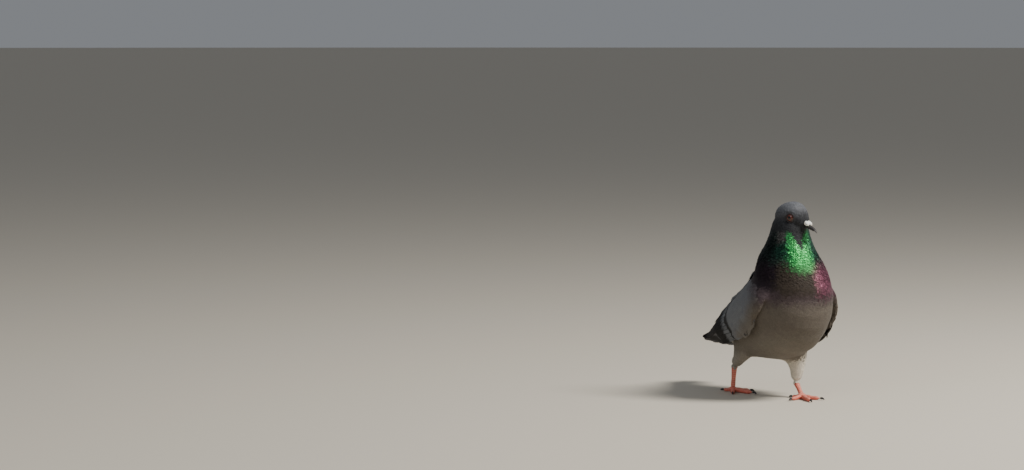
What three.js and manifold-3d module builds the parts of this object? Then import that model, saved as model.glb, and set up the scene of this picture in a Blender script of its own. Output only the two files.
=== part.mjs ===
// A feral rock pigeon (Columba livia), life size, standing in mid-stride with both feet down.
// Millimetres, +Z up. The bird looks along -Y, its left side is +X, and the floor is z = 0.
// A place on the bird is written [out, ahead, high]: out to its left from the middle plane,
// ahead along -Y from the point midway between the feet, and high over the floor.
import * as THREE from "three";
import { mergeVertices } from "three/addons/utils/BufferGeometryUtils.js";
import Module from "manifold-3d";

const wasm = await Module();
wasm.setup();

// ---- driving dimensions ----
const JOINT_GAP = 0.3; // free space between two neighbouring pieces
const CRUMB = 50; // cubic millimetres: a cut's leavings under this size are dropped
const FLOOR_BLOCK = { width: 300, length: 400, depth: 30 };

// The trunk and neck are rings from the tail root to the throat. A ring runs from a point on the
// back to a point on the belly side, both [ahead, high], and is this wide to either side.
const TRUNK_RINGS = [
  { back: [-84, 77], belly: [-82, 68], halfWidth: 7 },
  { back: [-76, 85], belly: [-68, 61], halfWidth: 15 },
  { back: [-58, 96], belly: [-44, 52], halfWidth: 25.5 },
  { back: [-38, 109.5], belly: [-10, 43], halfWidth: 34 },
  { back: [-18, 122], belly: [28, 44], halfWidth: 40.5 },
  { back: [-3, 134], belly: [64, 54], halfWidth: 44.5 },
  { back: [4, 145], belly: [86, 82], halfWidth: 47 },
  { back: [8.5, 155], belly: [91, 112], halfWidth: 43.5 },
  { back: [12, 164.5], belly: [85, 138], halfWidth: 37.5 },
  { back: [15.5, 174], belly: [75, 161], halfWidth: 27 },
  { back: [19, 185], belly: [68, 178], halfWidth: 21.5 },
  { back: [22.5, 196], belly: [65, 190], halfWidth: 18.5 },
  { back: [27, 209], belly: [62, 204], halfWidth: 14.5 },
];
// How full a ring is: 2 is an ellipse, more is squarer, less is more like a roof.
const TRUNK_FULLNESS = { belly: 2.05, back: 1.68, neck: 2.05, neckStart: 0.45, neckEnd: 0.72 };
const TRUNK_CUTS = { rump: 0.2, breast: 0.6, throat: 0.86 }; // share of the way along the rings
const TRUNK_END = 0.06; // the share of its length over which either end rounds off

// The head is turned to the bird's left and nods, in degrees. Its own rings are placed from the
// middle of the skull.
const HEAD = { ahead: 47.5, high: 203, turn: 15, nod: 12 };
const SKULL_RINGS = [
  { ahead: -20.5, lift: -3, up: 0, down: 0, halfWidth: 0 },
  { ahead: -17.5, lift: -2, up: 9, down: 9.6, halfWidth: 8.8 },
  { ahead: -9.5, lift: -1, up: 14.4, down: 14.6, halfWidth: 13.2 },
  { ahead: 0, lift: 0, up: 16.6, down: 16, halfWidth: 14.8 },
  { ahead: 8.5, lift: 0, up: 15.4, down: 13.6, halfWidth: 13.2 },
  { ahead: 15.5, lift: -1.5, up: 11.4, down: 9, halfWidth: 9.4 },
  { ahead: 20, lift: -3.6, up: 6.4, down: 4.8, halfWidth: 5.4 },
  { ahead: 22.5, lift: -5, up: 0, down: 0, halfWidth: 0 },
];
const SKULL_FULLNESS = 2.1;
const EYE = { out: 8.8, ahead: 6.5, up: 0.6, radius: 6 };
const BILL = {
  start: 13,
  length: 25,
  lowerShare: 0.9, // the lower half is this much as long as the upper
  level: -5,
  drop: 3.6,
  hook: 1.6,
  halfWidth: 3.4,
  rise: 3.6,
  sag: 2.3,
  waist: 0.2, // how much it narrows behind the hook
};
const CERE = { out: 1.9, ahead: 22, up: -2.2, length: 9.5, width: 5.4, height: 5.2, splay: 12 };

// A folded wing hangs between three lines that meet at the tip and at the shoulder.
const WING_TIP = [8, -116, 56];
const WING_TOP = [
  [7, -96, 73],
  [6, -66, 96],
  [7.5, -35, 116],
  [14, -4, 134],
  [27, 24, 145],
  [39, 50, 137],
];
const WING_CREST = [
  [16, -94, 62],
  [27, -66, 73],
  [38, -31, 86],
  [46, 0, 98],
  [51.5, 28, 108],
  [54.5, 54, 112],
];
const WING_LOW = [
  [17, -92, 54],
  [28, -58, 58],
  [38, -20, 60],
  [44, 12, 65],
  [48.5, 38, 77],
  [51, 55, 95],
];
const WING_SHOULDER = [46.5, 65, 115];
const WING_THICKNESS = { tip: 2.4, shoulder: 9 };
const WING_END = 0.1;
// The left wing hangs a little open: its lower edge is this much lower and further out.
const WING_SAG = { drop: 12, out: 4, middle: 0.66 };
// The wing is parted behind its coverts and behind its secondaries by slanted planes, each
// through [ahead, high] and leaning back by so many degrees.
const WING_CUTS = [
  { ahead: -60, high: 72, lean: 42 },
  { ahead: -18, high: 84, lean: 48 },
];
const WING_PARTING = { out: 30, width: 80, height: 160 };

// The tail swings to the bird's left from its root and is longest in the middle.
const TAIL = {
  root: [0, -56, 81],
  tip: [18, -124, 46],
  halfWidths: [11, 18, 23, 24.5],
  thicknesses: [9, 5, 3, 2],
  cornerCut: 0.16, // how far the outermost feathers fall short, as a share of the length
  roof: 1.5, // how far the middle feathers stand over the outermost
  roll: 13, // degrees, its left edge down
  fullness: 2.4,
  rootEnd: 0.08,
};

// Each leg: the hip end of the feathered thigh, the heel, and the ball of the foot. Toes point
// so many degrees to the bird's left of straight ahead.
const LEGS = {
  left: {
    side: 1,
    hip: [21, 20, 64],
    heel: [19, 30, 17],
    ball: [16, 45, 4],
    toes: { hallux: 195, inner_toe: -70, middle_toe: -17, outer_toe: 33 },
  },
  right: {
    side: -1,
    hip: [-21, -8, 66],
    heel: [-16.5, -39, 31],
    ball: [-15, -44, 4],
    toes: { hallux: 195, inner_toe: 67, middle_toe: 15, outer_toe: -35 },
  },
};
const THIGH_RADII = [13, 14, 12, 9.4, 6.2, 4]; // under the feathers' tips, hip to heel
const KNEE_AHEAD = 4.5; // how far the thigh bows forward
const SHANK_RADII = [3.2, 3.3, 2.8, 2.6, 2.7, 3.2];
const LIMB_END = 0.1;
const HEEL_INSIDE = 0.15; // how far the shank runs on into the thigh, as a share of its length
const FOOT_PAD = { radius: 5.4, height: 3.6, middle: 3.2 };
const TOES = {
  hallux: { length: 14, claw: 6, thickness: 4.4 },
  inner_toe: { length: 20, claw: 6.5, thickness: 4.8 },
  middle_toe: { length: 29, claw: 7.5, thickness: 5.4 },
  outer_toe: { length: 22, claw: 6.5, thickness: 4.8 },
};
const TOE_SHAPE = {
  start: 2, // how far out from the ball of the foot it begins
  knuckle: 0.32, // share of its length where its first joint is
  down: 0.6, // share of its length where it meets the floor
  radii: [0.8, 0.9, 1.06, 0.88, 0.98, 0.7], // shares of half the thickness, with a pad at each joint
  arch: 3, // height of its middle line where it leaves the foot
  rest: 0.45, // height of its middle line where it lies, as a share of the thickness
};
const CLAW = { radii: [1.5, 1.25, 0.5], inside: 1.4, bend: 0.6, tipHeight: 0.6 };

// Faces around and along each kind of piece.
const FINENESS = {
  trunk: [28, 26],
  skull: [22, 15],
  wing: [14, 20],
  tail: [24, 7],
  thigh: [12, 9],
  shank: [10, 7],
  toe: [8, 7],
  claw: [6, 4],
  eye: [12, 8],
  bill: [12, 7],
  cere: [10, 6],
};

const FINISHES = {
  slate: { color: 0x5d6168, roughness: 0.85 },
  neckSheen: { color: 0x2f7a4a, roughness: 0.45, metalness: 0.3 },
  ash: { color: 0x8d8f93, roughness: 0.85 },
  wingGrey: { color: 0xa6a8ab, roughness: 0.8 },
  flightDark: { color: 0x3c3b3e, roughness: 0.75 },
  horn: { color: 0x2b292b, roughness: 0.4 },
  chalk: { color: 0xe9e6df, roughness: 0.9 },
  iris: { color: 0xc2491b, roughness: 0.1 },
  redSkin: { color: 0xb8453b, roughness: 0.6 },
};

// ---- geometry helpers ----
const at = (out, ahead, high) => new THREE.Vector3(out, -ahead, high);
const { clamp, degToRad, lerp, smoothstep } = THREE.MathUtils;

function lineThrough(points) {
  const curve = new THREE.CatmullRomCurve3(points, false, "catmullrom");
  return (t) => curve.getPoint(clamp(t, 0, 1));
}

// A number that runs smoothly through the given ones.
function runThrough(numbers) {
  const line = lineThrough(numbers.map((n) => new THREE.Vector3(n, 0, 0)));
  return (t) => line(t).x;
}

function solid(geometry) {
  const bare = geometry.clone();
  bare.deleteAttribute("normal");
  bare.deleteAttribute("uv");
  const merged = mergeVertices(bare, 1e-4);
  return new wasm.Manifold(
    new wasm.Mesh({
      numProp: 3,
      vertProperties: merged.attributes.position.array,
      triVerts: new Uint32Array(merged.index.array),
    }),
  );
}

// A closed body. place(u, v) puts a vertex: u runs once round and v from one end to the other,
// and each end is a single point.
function closedBody([around, along], place) {
  const geometry = new THREE.SphereGeometry(1, around, along);
  const { position, uv } = geometry.attributes;
  for (let i = 0; i < position.count; i++) {
    const point = place(uv.getX(i), 1 - uv.getY(i));
    position.setXYZ(i, point.x, point.y, point.z);
  }
  const body = solid(geometry);
  if (body.volume() > 0) return body;
  geometry.index.array.reverse();
  return solid(geometry);
}

function meshOf(name, body, material) {
  const { vertProperties, triVerts } = body.getMesh();
  const geometry = new THREE.BufferGeometry();
  geometry.setAttribute("position", new THREE.BufferAttribute(vertProperties, 3));
  geometry.setIndex(new THREE.BufferAttribute(triVerts, 1));
  geometry.computeVertexNormals();
  const mesh = new THREE.Mesh(geometry, material);
  mesh.name = name;
  return mesh;
}

// A point on a unit ring: x to one side and y up, squarer as fullness passes 2.
function ringPoint(u, fullness = 2) {
  const x = Math.sin(2 * Math.PI * u);
  const y = Math.cos(2 * Math.PI * u);
  const size = (Math.abs(x) ** fullness + Math.abs(y) ** fullness) ** (-1 / fullness);
  return { x: x * size, y: y * size };
}

// How far a rounded end has opened: 0 at either end, 1 past its share of the length.
function opening(v, share) {
  const near = clamp(Math.min(v, 1 - v) / share, 0, 1);
  return Math.sqrt(1 - (1 - near) ** 2);
}

// A round limb along a line of points, as thick as the radii given along it.
function limb(fineness, points, radii, grow = 0) {
  const centre = lineThrough(points);
  const radius = runThrough(radii);
  const step = 0.02;
  return closedBody(fineness, (u, v) => {
    const ahead = centre(v + step).sub(centre(v - step)).normalize();
    const side = new THREE.Vector3().crossVectors(ahead, at(1, 0, 0));
    const across = new THREE.Vector3().crossVectors(ahead, side).normalize();
    side.normalize();
    const ring = ringPoint(u);
    const size = (radius(v) + grow) * opening(v, LIMB_END);
    return centre(v).addScaledVector(side, ring.x * size).addScaledVector(across, ring.y * size);
  });
}

function slab(width, thickness, height, lean, middle) {
  const box = new THREE.BoxGeometry(width, thickness, height);
  box.rotateX(lean);
  box.translate(middle.x, middle.y, middle.z);
  return solid(box);
}

const biggest = (body) => body.decompose().sort((a, b) => b.volume() - a.volume())[0];
const topOf = (body) => body.boundingBox().max[2];
const frontOf = (body) => -body.boundingBox().min[1];

// ---- trunk and neck ----
const backLine = lineThrough(TRUNK_RINGS.map((ring) => at(0, ...ring.back)));
const bellyLine = lineThrough(TRUNK_RINGS.map((ring) => at(0, ...ring.belly)));
const trunkHalfWidth = runThrough(TRUNK_RINGS.map((ring) => ring.halfWidth));

// Under the wings the back slopes like a roof, and the neck is round.
function trunkFullness(u, v) {
  const isBelly = Math.abs(u - 0.5) < 0.25;
  if (isBelly) return TRUNK_FULLNESS.belly;
  const towardsNeck = smoothstep(v, TRUNK_FULLNESS.neckStart, TRUNK_FULLNESS.neckEnd);
  return lerp(TRUNK_FULLNESS.back, TRUNK_FULLNESS.neck, towardsNeck);
}

function trunkBody(grow = 0) {
  return closedBody(FINENESS.trunk, (u, v) => {
    const up = backLine(v).sub(bellyLine(v));
    const middle = bellyLine(v).addScaledVector(up, 0.5);
    const halfHeight = up.length() / 2;
    const ring = ringPoint(u, trunkFullness(u, v));
    const open = opening(v, TRUNK_END);
    middle.addScaledVector(up.normalize(), ring.y * (halfHeight + grow) * open);
    return middle.setX(ring.x * (trunkHalfWidth(v) + grow) * open);
  });
}

// A thin slab along the trunk's ring at v, to part it there.
function trunkParting(v) {
  const up = backLine(v).sub(bellyLine(v));
  const middle = bellyLine(v).addScaledVector(up, 0.5);
  const reach = 1.3;
  const lean = Math.atan2(up.z, up.y) - Math.PI / 2;
  return slab(trunkHalfWidth(v) * 2 * reach, JOINT_GAP, up.length() * reach, lean, middle);
}

// ---- head ----
function onHead(geometry) {
  geometry.rotateX(degToRad(HEAD.nod));
  geometry.rotateZ(degToRad(HEAD.turn));
  const { x, y, z } = at(0, HEAD.ahead, HEAD.high);
  geometry.translate(x, y, z);
  return geometry;
}

function headPoint(out, ahead, up) {
  const nod = new THREE.Euler(degToRad(HEAD.nod), 0, degToRad(HEAD.turn), "ZYX");
  return at(out, ahead, up).applyEuler(nod).add(at(0, HEAD.ahead, HEAD.high));
}

function skullBody(grow = 0) {
  const ahead = runThrough(SKULL_RINGS.map((ring) => ring.ahead));
  const lift = runThrough(SKULL_RINGS.map((ring) => ring.lift));
  const up = runThrough(SKULL_RINGS.map((ring) => ring.up));
  const down = runThrough(SKULL_RINGS.map((ring) => ring.down));
  const halfWidth = runThrough(SKULL_RINGS.map((ring) => ring.halfWidth));
  return closedBody(FINENESS.skull, (u, v) => {
    const ring = ringPoint(u, SKULL_FULLNESS);
    const height = ring.y > 0 ? up(v) + grow : down(v) + grow;
    const isPole = v === 0 || v === 1;
    const width = isPole ? 0 : halfWidth(v) + grow;
    const reach = ahead(v) + grow * (2 * v - 1);
    return headPoint(ring.x * width, reach, lift(v) + (isPole ? 0 : ring.y * height));
  });
}

function eyeBody(side, grow = 0) {
  const ball = new THREE.SphereGeometry(EYE.radius + grow, ...FINENESS.eye);
  ball.rotateZ(Math.PI / 2);
  ball.translate(side * EYE.out, -EYE.ahead, EYE.up);
  return solid(onHead(ball));
}

// One half of the bill. The upper half arches down to a hooked tip, the lower one stops short.
function billBody(isUpper, grow = 0) {
  const length = BILL.length * (isUpper ? 1 : BILL.lowerShare);
  const height = (isUpper ? BILL.rise : BILL.sag) + grow;
  const seam = (isUpper ? 0.5 : -0.5) * (JOINT_GAP - 2 * grow);
  return closedBody(FINENESS.bill, (u, v) => {
    const ring = ringPoint(u);
    const waist = 1 - BILL.waist * Math.sin(Math.PI * v) ** 2;
    const taper = Math.sqrt((1 - v ** 2.5) * opening(v, LIMB_END));
    const share = (length * v) / BILL.length;
    const tipDrop = isUpper ? BILL.hook * v ** 8 : 0;
    const rise = isUpper ? Math.max(0, ring.y) : Math.min(0, ring.y);
    return headPoint(
      ring.x * (BILL.halfWidth + grow) * taper * waist,
      BILL.start + length * v,
      BILL.level - BILL.drop * share ** 2 - tipDrop + seam + rise * height * taper * waist,
    );
  });
}

// The cere: two chalky swellings over the nostrils that meet in the middle.
function cereBody(grow = 0) {
  const lobes = [1, -1].map((side) => {
    const lobe = new THREE.SphereGeometry(0.5, ...FINENESS.cere);
    lobe.scale(CERE.width + 2 * grow, CERE.length + 2 * grow, CERE.height + 2 * grow);
    lobe.rotateX(degToRad(CERE.splay));
    lobe.rotateZ(degToRad(side * CERE.splay));
    lobe.translate(side * CERE.out, -CERE.ahead, CERE.up);
    return solid(onHead(lobe));
  });
  return lobes[0].add(lobes[1]);
}

// ---- wings ----
const wingLines = [WING_TOP, WING_CREST, WING_LOW].map((line) =>
  lineThrough([WING_TIP, ...line, WING_SHOULDER].map((point) => at(...point))),
);

// The wing's outer face: v from the tip to the shoulder, w from the top edge to the lower one.
function wingFace(v, w) {
  const [top, crest, low] = wingLines.map((line) => line(v));
  const pull = crest.multiplyScalar(2).addScaledVector(top, -0.5).addScaledVector(low, -0.5);
  return top
    .multiplyScalar((1 - w) ** 2)
    .addScaledVector(pull, 2 * w * (1 - w))
    .addScaledVector(low, w ** 2);
}

function wingInward(v, w) {
  const step = 0.02;
  const inV = clamp(v, 3 * step, 1 - 3 * step);
  const inW = clamp(w, step, 1 - step);
  const along = wingFace(inV + step, inW).sub(wingFace(inV - step, inW));
  const down = wingFace(inV, inW + step).sub(wingFace(inV, inW - step));
  return down.cross(along).normalize();
}

function wingBody(side) {
  return closedBody(FINENESS.wing, (u, v) => {
    const isOuter = u <= 0.5;
    const w = isOuter ? 2 * u : 2 * (1 - u);
    const point = wingFace(v, w);
    if (!isOuter) {
      const thickness = lerp(WING_THICKNESS.tip, WING_THICKNESS.shoulder, v);
      const swell = Math.sqrt(Math.sin(Math.PI * w)) * opening(v, WING_END);
      point.addScaledVector(wingInward(v, w), thickness * swell);
    }
    if (side > 0) {
      const sag = Math.sin(Math.PI * v ** (Math.log(0.5) / Math.log(WING_SAG.middle)));
      point.x += WING_SAG.out * sag * w ** 4;
      point.z -= WING_SAG.drop * sag * w ** 2;
    }
    return point.setX(point.x * side);
  });
}

// ---- tail ----
function tailBody(grow = 0) {
  const halfWidth = runThrough(TAIL.halfWidths);
  const thickness = runThrough(TAIL.thicknesses);
  const root = at(...TAIL.root);
  const along = at(...TAIL.tip).sub(root);
  const side = at(1, 0, 0).addScaledVector(along, -along.x / along.lengthSq()).normalize();
  side.applyAxisAngle(along.clone().normalize(), degToRad(TAIL.roll));
  const up = side.clone().cross(along).normalize();
  return closedBody(FINENESS.tail, (u, v) => {
    const t = 1 - (1 - v) ** 2; // rings crowd towards the end, which is blunt
    const isPole = v === 0 || v === 1;
    const ring = isPole ? { x: 0, y: 0 } : ringPoint(u, TAIL.fullness);
    const width = (halfWidth(t) + grow) * (v < 0.5 ? opening(t, TAIL.rootEnd) : 1);
    const sag = TAIL.roof * ring.x ** 2 * t;
    return root
      .clone()
      .addScaledVector(along, t * (1 - TAIL.cornerCut * Math.abs(ring.x) ** 2.5))
      .addScaledVector(side, ring.x * width)
      .addScaledVector(up, ring.y * (thickness(t) / 2 + grow) - sag);
  });
}

// ---- legs ----
function thighBody(leg, grow = 0) {
  const [hip, heel] = [at(...leg.hip), at(...leg.heel)];
  const knee = hip.clone().lerp(heel, 0.5).add(at(0, KNEE_AHEAD, 0));
  return limb(FINENESS.thigh, [hip, knee, heel], THIGH_RADII, grow);
}

function shankBody(leg, grow = 0) {
  const [heel, ball] = [at(...leg.heel), at(...leg.ball)];
  const start = heel.clone().lerp(ball, -HEEL_INSIDE);
  const shaft = limb(FINENESS.shank, [start, heel.clone().lerp(ball, 0.5), ball], SHANK_RADII, grow);
  const pad = new THREE.SphereGeometry(1, ...FINENESS.shank);
  pad.rotateX(Math.PI / 2);
  pad.scale(FOOT_PAD.radius + grow, FOOT_PAD.radius + grow, FOOT_PAD.height + grow);
  pad.translate(ball.x, ball.y, FOOT_PAD.middle);
  return shaft.add(solid(pad));
}

// A place along a toe: so far out from the ball of the foot, and so high.
function alongToe(leg, toeName) {
  const angle = degToRad(leg.toes[toeName]);
  const away = at(Math.sin(angle), Math.cos(angle), 0);
  const ball = at(...leg.ball);
  return (distance, high) => ball.clone().addScaledVector(away, distance).setZ(high);
}

// A toe leaves the pad, arches over its first joint and lies down along the floor.
function toeBody(leg, toeName) {
  const { length, thickness } = TOES[toeName];
  const place = alongToe(leg, toeName);
  const rest = thickness * TOE_SHAPE.rest;
  const points = [
    place(TOE_SHAPE.start, TOE_SHAPE.arch),
    place(length * TOE_SHAPE.knuckle, TOE_SHAPE.arch),
    place(length * TOE_SHAPE.down, rest),
    place(length, rest),
  ];
  const radii = TOE_SHAPE.radii.map((share) => (share * thickness) / 2);
  return limb(FINENESS.toe, points, radii);
}

function clawBody(leg, toeName, grow = 0) {
  const { length, thickness, claw } = TOES[toeName];
  const place = alongToe(leg, toeName);
  const rest = thickness * TOE_SHAPE.rest;
  const start = length - CLAW.inside;
  const points = [
    place(start, rest),
    place(start + claw * CLAW.bend, rest),
    place(start + claw, CLAW.tipHeight),
  ];
  return limb(FINENESS.claw, points, CLAW.radii, grow);
}

// Flat where it lies on the floor.
function overFloor(body) {
  const { width, length, depth } = FLOOR_BLOCK;
  return body.subtract(slab(width, length, depth, 0, at(0, 0, -depth / 2)));
}

// ---- assembly ----
const materials = Object.fromEntries(
  Object.entries(FINISHES).map(([name, finish]) => [name, new THREE.MeshStandardMaterial(finish)]),
);

// The pieces that a body falls into when it is cut, without crumbs, in the order given.
function piecesOf(body, order) {
  const pieces = body.decompose().filter((piece) => piece.volume() > CRUMB);
  return pieces.sort((a, b) => order(b) - order(a));
}

function bodyMeshes() {
  const cuts = Object.values(TRUNK_CUTS);
  const flesh = trunkBody().add(skullBody());
  const parted = cuts.reduce((body, v) => body.subtract(trunkParting(v)), flesh);
  const [skull, neck, ...rest] = piecesOf(parted, topOf);
  const [trunk, rump] = rest.sort((a, b) => frontOf(b) - frontOf(a));
  const head = [1, -1].reduce((body, side) => body.subtract(eyeBody(side, JOINT_GAP)), skull);
  return [
    meshOf("head", biggest(head), materials.slate),
    meshOf("neck", neck, materials.neckSheen),
    meshOf("trunk", trunk, materials.ash),
    meshOf("rump", rump, materials.ash),
  ];
}

function faceMeshes() {
  const skull = skullBody(JOINT_GAP);
  const room = skull.add(cereBody(JOINT_GAP));
  const upper = biggest(billBody(true).subtract(room));
  const lower = biggest(billBody(false).subtract(room).subtract(billBody(true, JOINT_GAP)));
  return [
    meshOf("eye_left", eyeBody(1), materials.iris),
    meshOf("eye_right", eyeBody(-1), materials.iris),
    meshOf("cere", biggest(cereBody().subtract(skull)), materials.chalk),
    meshOf("bill_upper", upper, materials.horn),
    meshOf("bill_lower", lower, materials.horn),
  ];
}

// The wings keep clear of the trunk, the tail and their own side's thigh.
function wingMeshes(name, side, rooms) {
  const whole = biggest(rooms.reduce((body, room) => body.subtract(room), wingBody(side)));
  const { out, width, height } = WING_PARTING;
  const parted = WING_CUTS.reduce((body, cut) => {
    const middle = at(side * out, cut.ahead, cut.high);
    return body.subtract(slab(width, JOINT_GAP, height, degToRad(-cut.lean), middle));
  }, whole);
  const [coverts, secondaries, primaries] = piecesOf(parted, frontOf);
  return [
    meshOf(`wing_${name}_coverts`, coverts, materials.wingGrey),
    meshOf(`wing_${name}_secondaries`, secondaries, materials.wingGrey),
    meshOf(`wing_${name}_primaries`, primaries, materials.flightDark),
  ];
}

function legMeshes(name, leg, trunk) {
  const shankRoom = shankBody(leg, JOINT_GAP);
  const thigh = biggest(thighBody(leg).subtract(trunk).subtract(shankRoom));
  const meshes = [
    meshOf(`thigh_${name}`, thigh, materials.ash),
    meshOf(`shank_${name}`, overFloor(shankBody(leg)), materials.redSkin),
  ];
  for (const toeName of Object.keys(TOES)) {
    const toe = toeBody(leg, toeName).subtract(shankRoom);
    const clear = biggest(overFloor(toe.subtract(clawBody(leg, toeName, JOINT_GAP))));
    const claw = biggest(overFloor(clawBody(leg, toeName)));
    meshes.push(meshOf(`${toeName}_${name}`, clear, materials.redSkin));
    meshes.push(meshOf(`${toeName}_claw_${name}`, claw, materials.horn));
  }
  return meshes;
}

const trunkRoom = trunkBody(JOINT_GAP);
const bird = new THREE.Group();
bird.add(...bodyMeshes());
bird.add(...faceMeshes());
bird.add(meshOf("tail", biggest(tailBody().subtract(trunkRoom)), materials.flightDark));
for (const [name, leg] of Object.entries(LEGS)) {
  const rooms = [trunkRoom, tailBody(JOINT_GAP), thighBody(leg, JOINT_GAP)];
  bird.add(...wingMeshes(name, leg.side, rooms));
  bird.add(...legMeshes(name, leg, trunkRoom));
}

// The origin is on the floor, under the middle of the bird.
const extent = new THREE.Box3().setFromObject(bird);
bird.position.x = -(extent.min.x + extent.max.x) / 2;
bird.position.y = -(extent.min.y + extent.max.y) / 2;

export default bird;
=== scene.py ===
from math import cos, pi, radians, sin

import bmesh
import bpy
import numpy as np
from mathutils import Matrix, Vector
from mathutils.bvhtree import BVHTree
from mathutils.kdtree import KDTree


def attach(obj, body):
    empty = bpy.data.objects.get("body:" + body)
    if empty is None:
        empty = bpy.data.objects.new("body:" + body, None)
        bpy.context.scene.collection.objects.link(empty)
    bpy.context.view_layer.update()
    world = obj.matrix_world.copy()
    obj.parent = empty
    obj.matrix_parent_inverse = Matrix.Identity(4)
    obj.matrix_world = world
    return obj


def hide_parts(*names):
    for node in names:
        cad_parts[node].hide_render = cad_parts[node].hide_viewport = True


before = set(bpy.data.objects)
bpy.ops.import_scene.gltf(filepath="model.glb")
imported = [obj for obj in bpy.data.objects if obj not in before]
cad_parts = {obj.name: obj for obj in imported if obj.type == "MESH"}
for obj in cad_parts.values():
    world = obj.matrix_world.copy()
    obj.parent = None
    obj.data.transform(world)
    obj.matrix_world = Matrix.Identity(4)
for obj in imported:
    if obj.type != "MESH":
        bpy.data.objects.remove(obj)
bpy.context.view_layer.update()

# Lengths are millimetres until a mesh is made. Places are told as [out, ahead, high]: out to
# the bird's left, ahead of its hips, high over the floor.
mm = 0.001
birdShift = (-0.431, -16.771)  # where in the frame, along x and y, out and ahead are zero


def sideBySide(*values):
    # numbers and arrays as the columns of one array
    return np.stack(np.broadcast_arrays(*values), axis=-1).astype(float)


def placed(points):
    p = np.atleast_2d(np.array(points, float))
    return sideBySide(p[:, 0] + birdShift[0], birdShift[1] - p[:, 1], p[:, 2])


def outOf(points):
    return points[..., 0] - birdShift[0]


def aheadOf(points):
    return birdShift[1] - points[..., 1]


def unit(vectors):
    return vectors / np.maximum(np.linalg.norm(vectors, axis=-1, keepdims=True), 1e-9)


def dot(a, b):
    return (a * b).sum(axis=-1, keepdims=True)


def across(vectors, normals):
    return unit(vectors - normals * dot(vectors, normals))


def ramp(values, start, end):
    t = np.clip((values - start) / (end - start), 0, 1)
    return t * t * (3 - 2 * t)


def between(pair, t):
    return pair[0] + (pair[1] - pair[0]) * t


def linear(hexColour):
    values = np.array([int(hexColour[i:i + 2], 16) / 255 for i in (1, 3, 5)])
    return np.where(values <= 0.04045, values / 12.92, ((values + 0.055) / 1.055) ** 2.4)


def arraysOf(mesh, matrix):
    count = len(mesh.vertices)
    points = np.empty(count * 3)
    mesh.vertices.foreach_get("co", points)
    turn = np.array(matrix)
    points = points.reshape(-1, 3) @ turn[:3, :3].T + turn[:3, 3]
    mesh.calc_loop_triangles()
    faces = np.empty(len(mesh.loop_triangles) * 3, dtype=np.int32)
    mesh.loop_triangles.foreach_get("vertices", faces)
    return points / mm, faces.reshape(-1, 3)


def nodeArrays(names):
    allPoints, allFaces, start = [], [], 0
    for name in names:
        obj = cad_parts[name]
        points, faces = arraysOf(obj.data, obj.matrix_world)
        allPoints.append(points)
        allFaces.append(faces + start)
        start += len(points)
    return np.concatenate(allPoints), np.concatenate(allFaces)


def meshFrom(name, points, faces):
    mesh = bpy.data.meshes.new(name)
    mesh.vertices.add(len(points))
    mesh.vertices.foreach_set("co", (points * mm).ravel())
    mesh.loops.add(faces.size)
    mesh.loops.foreach_set("vertex_index", faces.ravel().astype(np.int32))
    mesh.polygons.add(len(faces))
    mesh.polygons.foreach_set("loop_start", np.arange(0, faces.size, 3, dtype=np.int32))
    mesh.update(calc_edges=True)
    return mesh


def edgesOf(faces):
    pairs = np.concatenate([faces[:, [0, 1]], faces[:, [1, 2]], faces[:, [2, 0]]])
    return np.unique(np.sort(pairs, axis=1), axis=0)


def relaxed(points, faces, rounds, steps=(0.5, -0.52), weight=None):
    # By default smoothing that doesn't shrink: a step in, then a slightly longer step out.
    # With a weight for each point it only fills: points move out, never in.
    edges = edgesOf(faces)
    a, b = edges[:, 0], edges[:, 1]
    count = len(points)
    degree = np.bincount(a, minlength=count) + np.bincount(b, minlength=count)
    for turn, step in enumerate(list(steps) * rounds):
        middle = np.empty_like(points)
        for axis in range(3):
            middle[:, axis] = np.bincount(a, points[b, axis], count)
            middle[:, axis] += np.bincount(b, points[a, axis], count)
        move = step * (middle / np.maximum(degree, 1)[:, None] - points)
        if weight is not None:
            if turn % 10 == 0:
                normals = normalsOf(points, faces)
            move = normals * np.maximum(dot(move, normals), 0) * weight[:, None]
        points = points + move
    return points


def biggestShell(points, faces):
    edges = edgesOf(faces)
    label = np.arange(len(points))
    while True:
        low = np.minimum(label[edges[:, 0]], label[edges[:, 1]])
        new = label.copy()
        np.minimum.at(new, edges[:, 0], low)
        np.minimum.at(new, edges[:, 1], low)
        new = new[new]
        if (new == label).all():
            break
        label = new
    kept = label == np.bincount(label).argmax()
    index = np.cumsum(kept) - 1
    return points[kept], index[faces[kept[faces[:, 0]]]]


def closedOver(names, voxel, rounds, keepsAll=False):
    # copies of CAD nodes, merged and closed over into one even, smooth shell
    mesh = meshFrom("copy", *nodeArrays(names))
    work = bmesh.new()
    work.from_mesh(mesh)
    bmesh.ops.remove_doubles(work, verts=work.verts, dist=0.01 * mm)
    work.to_mesh(mesh)
    work.free()
    obj = bpy.data.objects.new("copy", mesh)
    bpy.context.scene.collection.objects.link(obj)
    remesh = obj.modifiers.new("remesh", "REMESH")
    remesh.mode = "VOXEL"
    remesh.voxel_size = voxel * mm
    made = bpy.data.meshes.new_from_object(obj.evaluated_get(bpy.context.evaluated_depsgraph_get()))
    points, faces = arraysOf(made, obj.matrix_world)
    bpy.data.objects.remove(obj)
    for leftover in (mesh, made):
        bpy.data.meshes.remove(leftover)
    if not keepsAll:
        points, faces = biggestShell(points, faces)
    return relaxed(points, faces, rounds), faces


def normalsOf(points, faces):
    corners = points[faces]
    flat = np.cross(corners[:, 1] - corners[:, 0], corners[:, 2] - corners[:, 0])
    normals = np.empty_like(points)
    for axis in range(3):
        weights = np.repeat(flat[:, axis], 3)
        normals[:, axis] = np.bincount(faces.ravel(), weights, len(points))
    return unit(normals)


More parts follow.
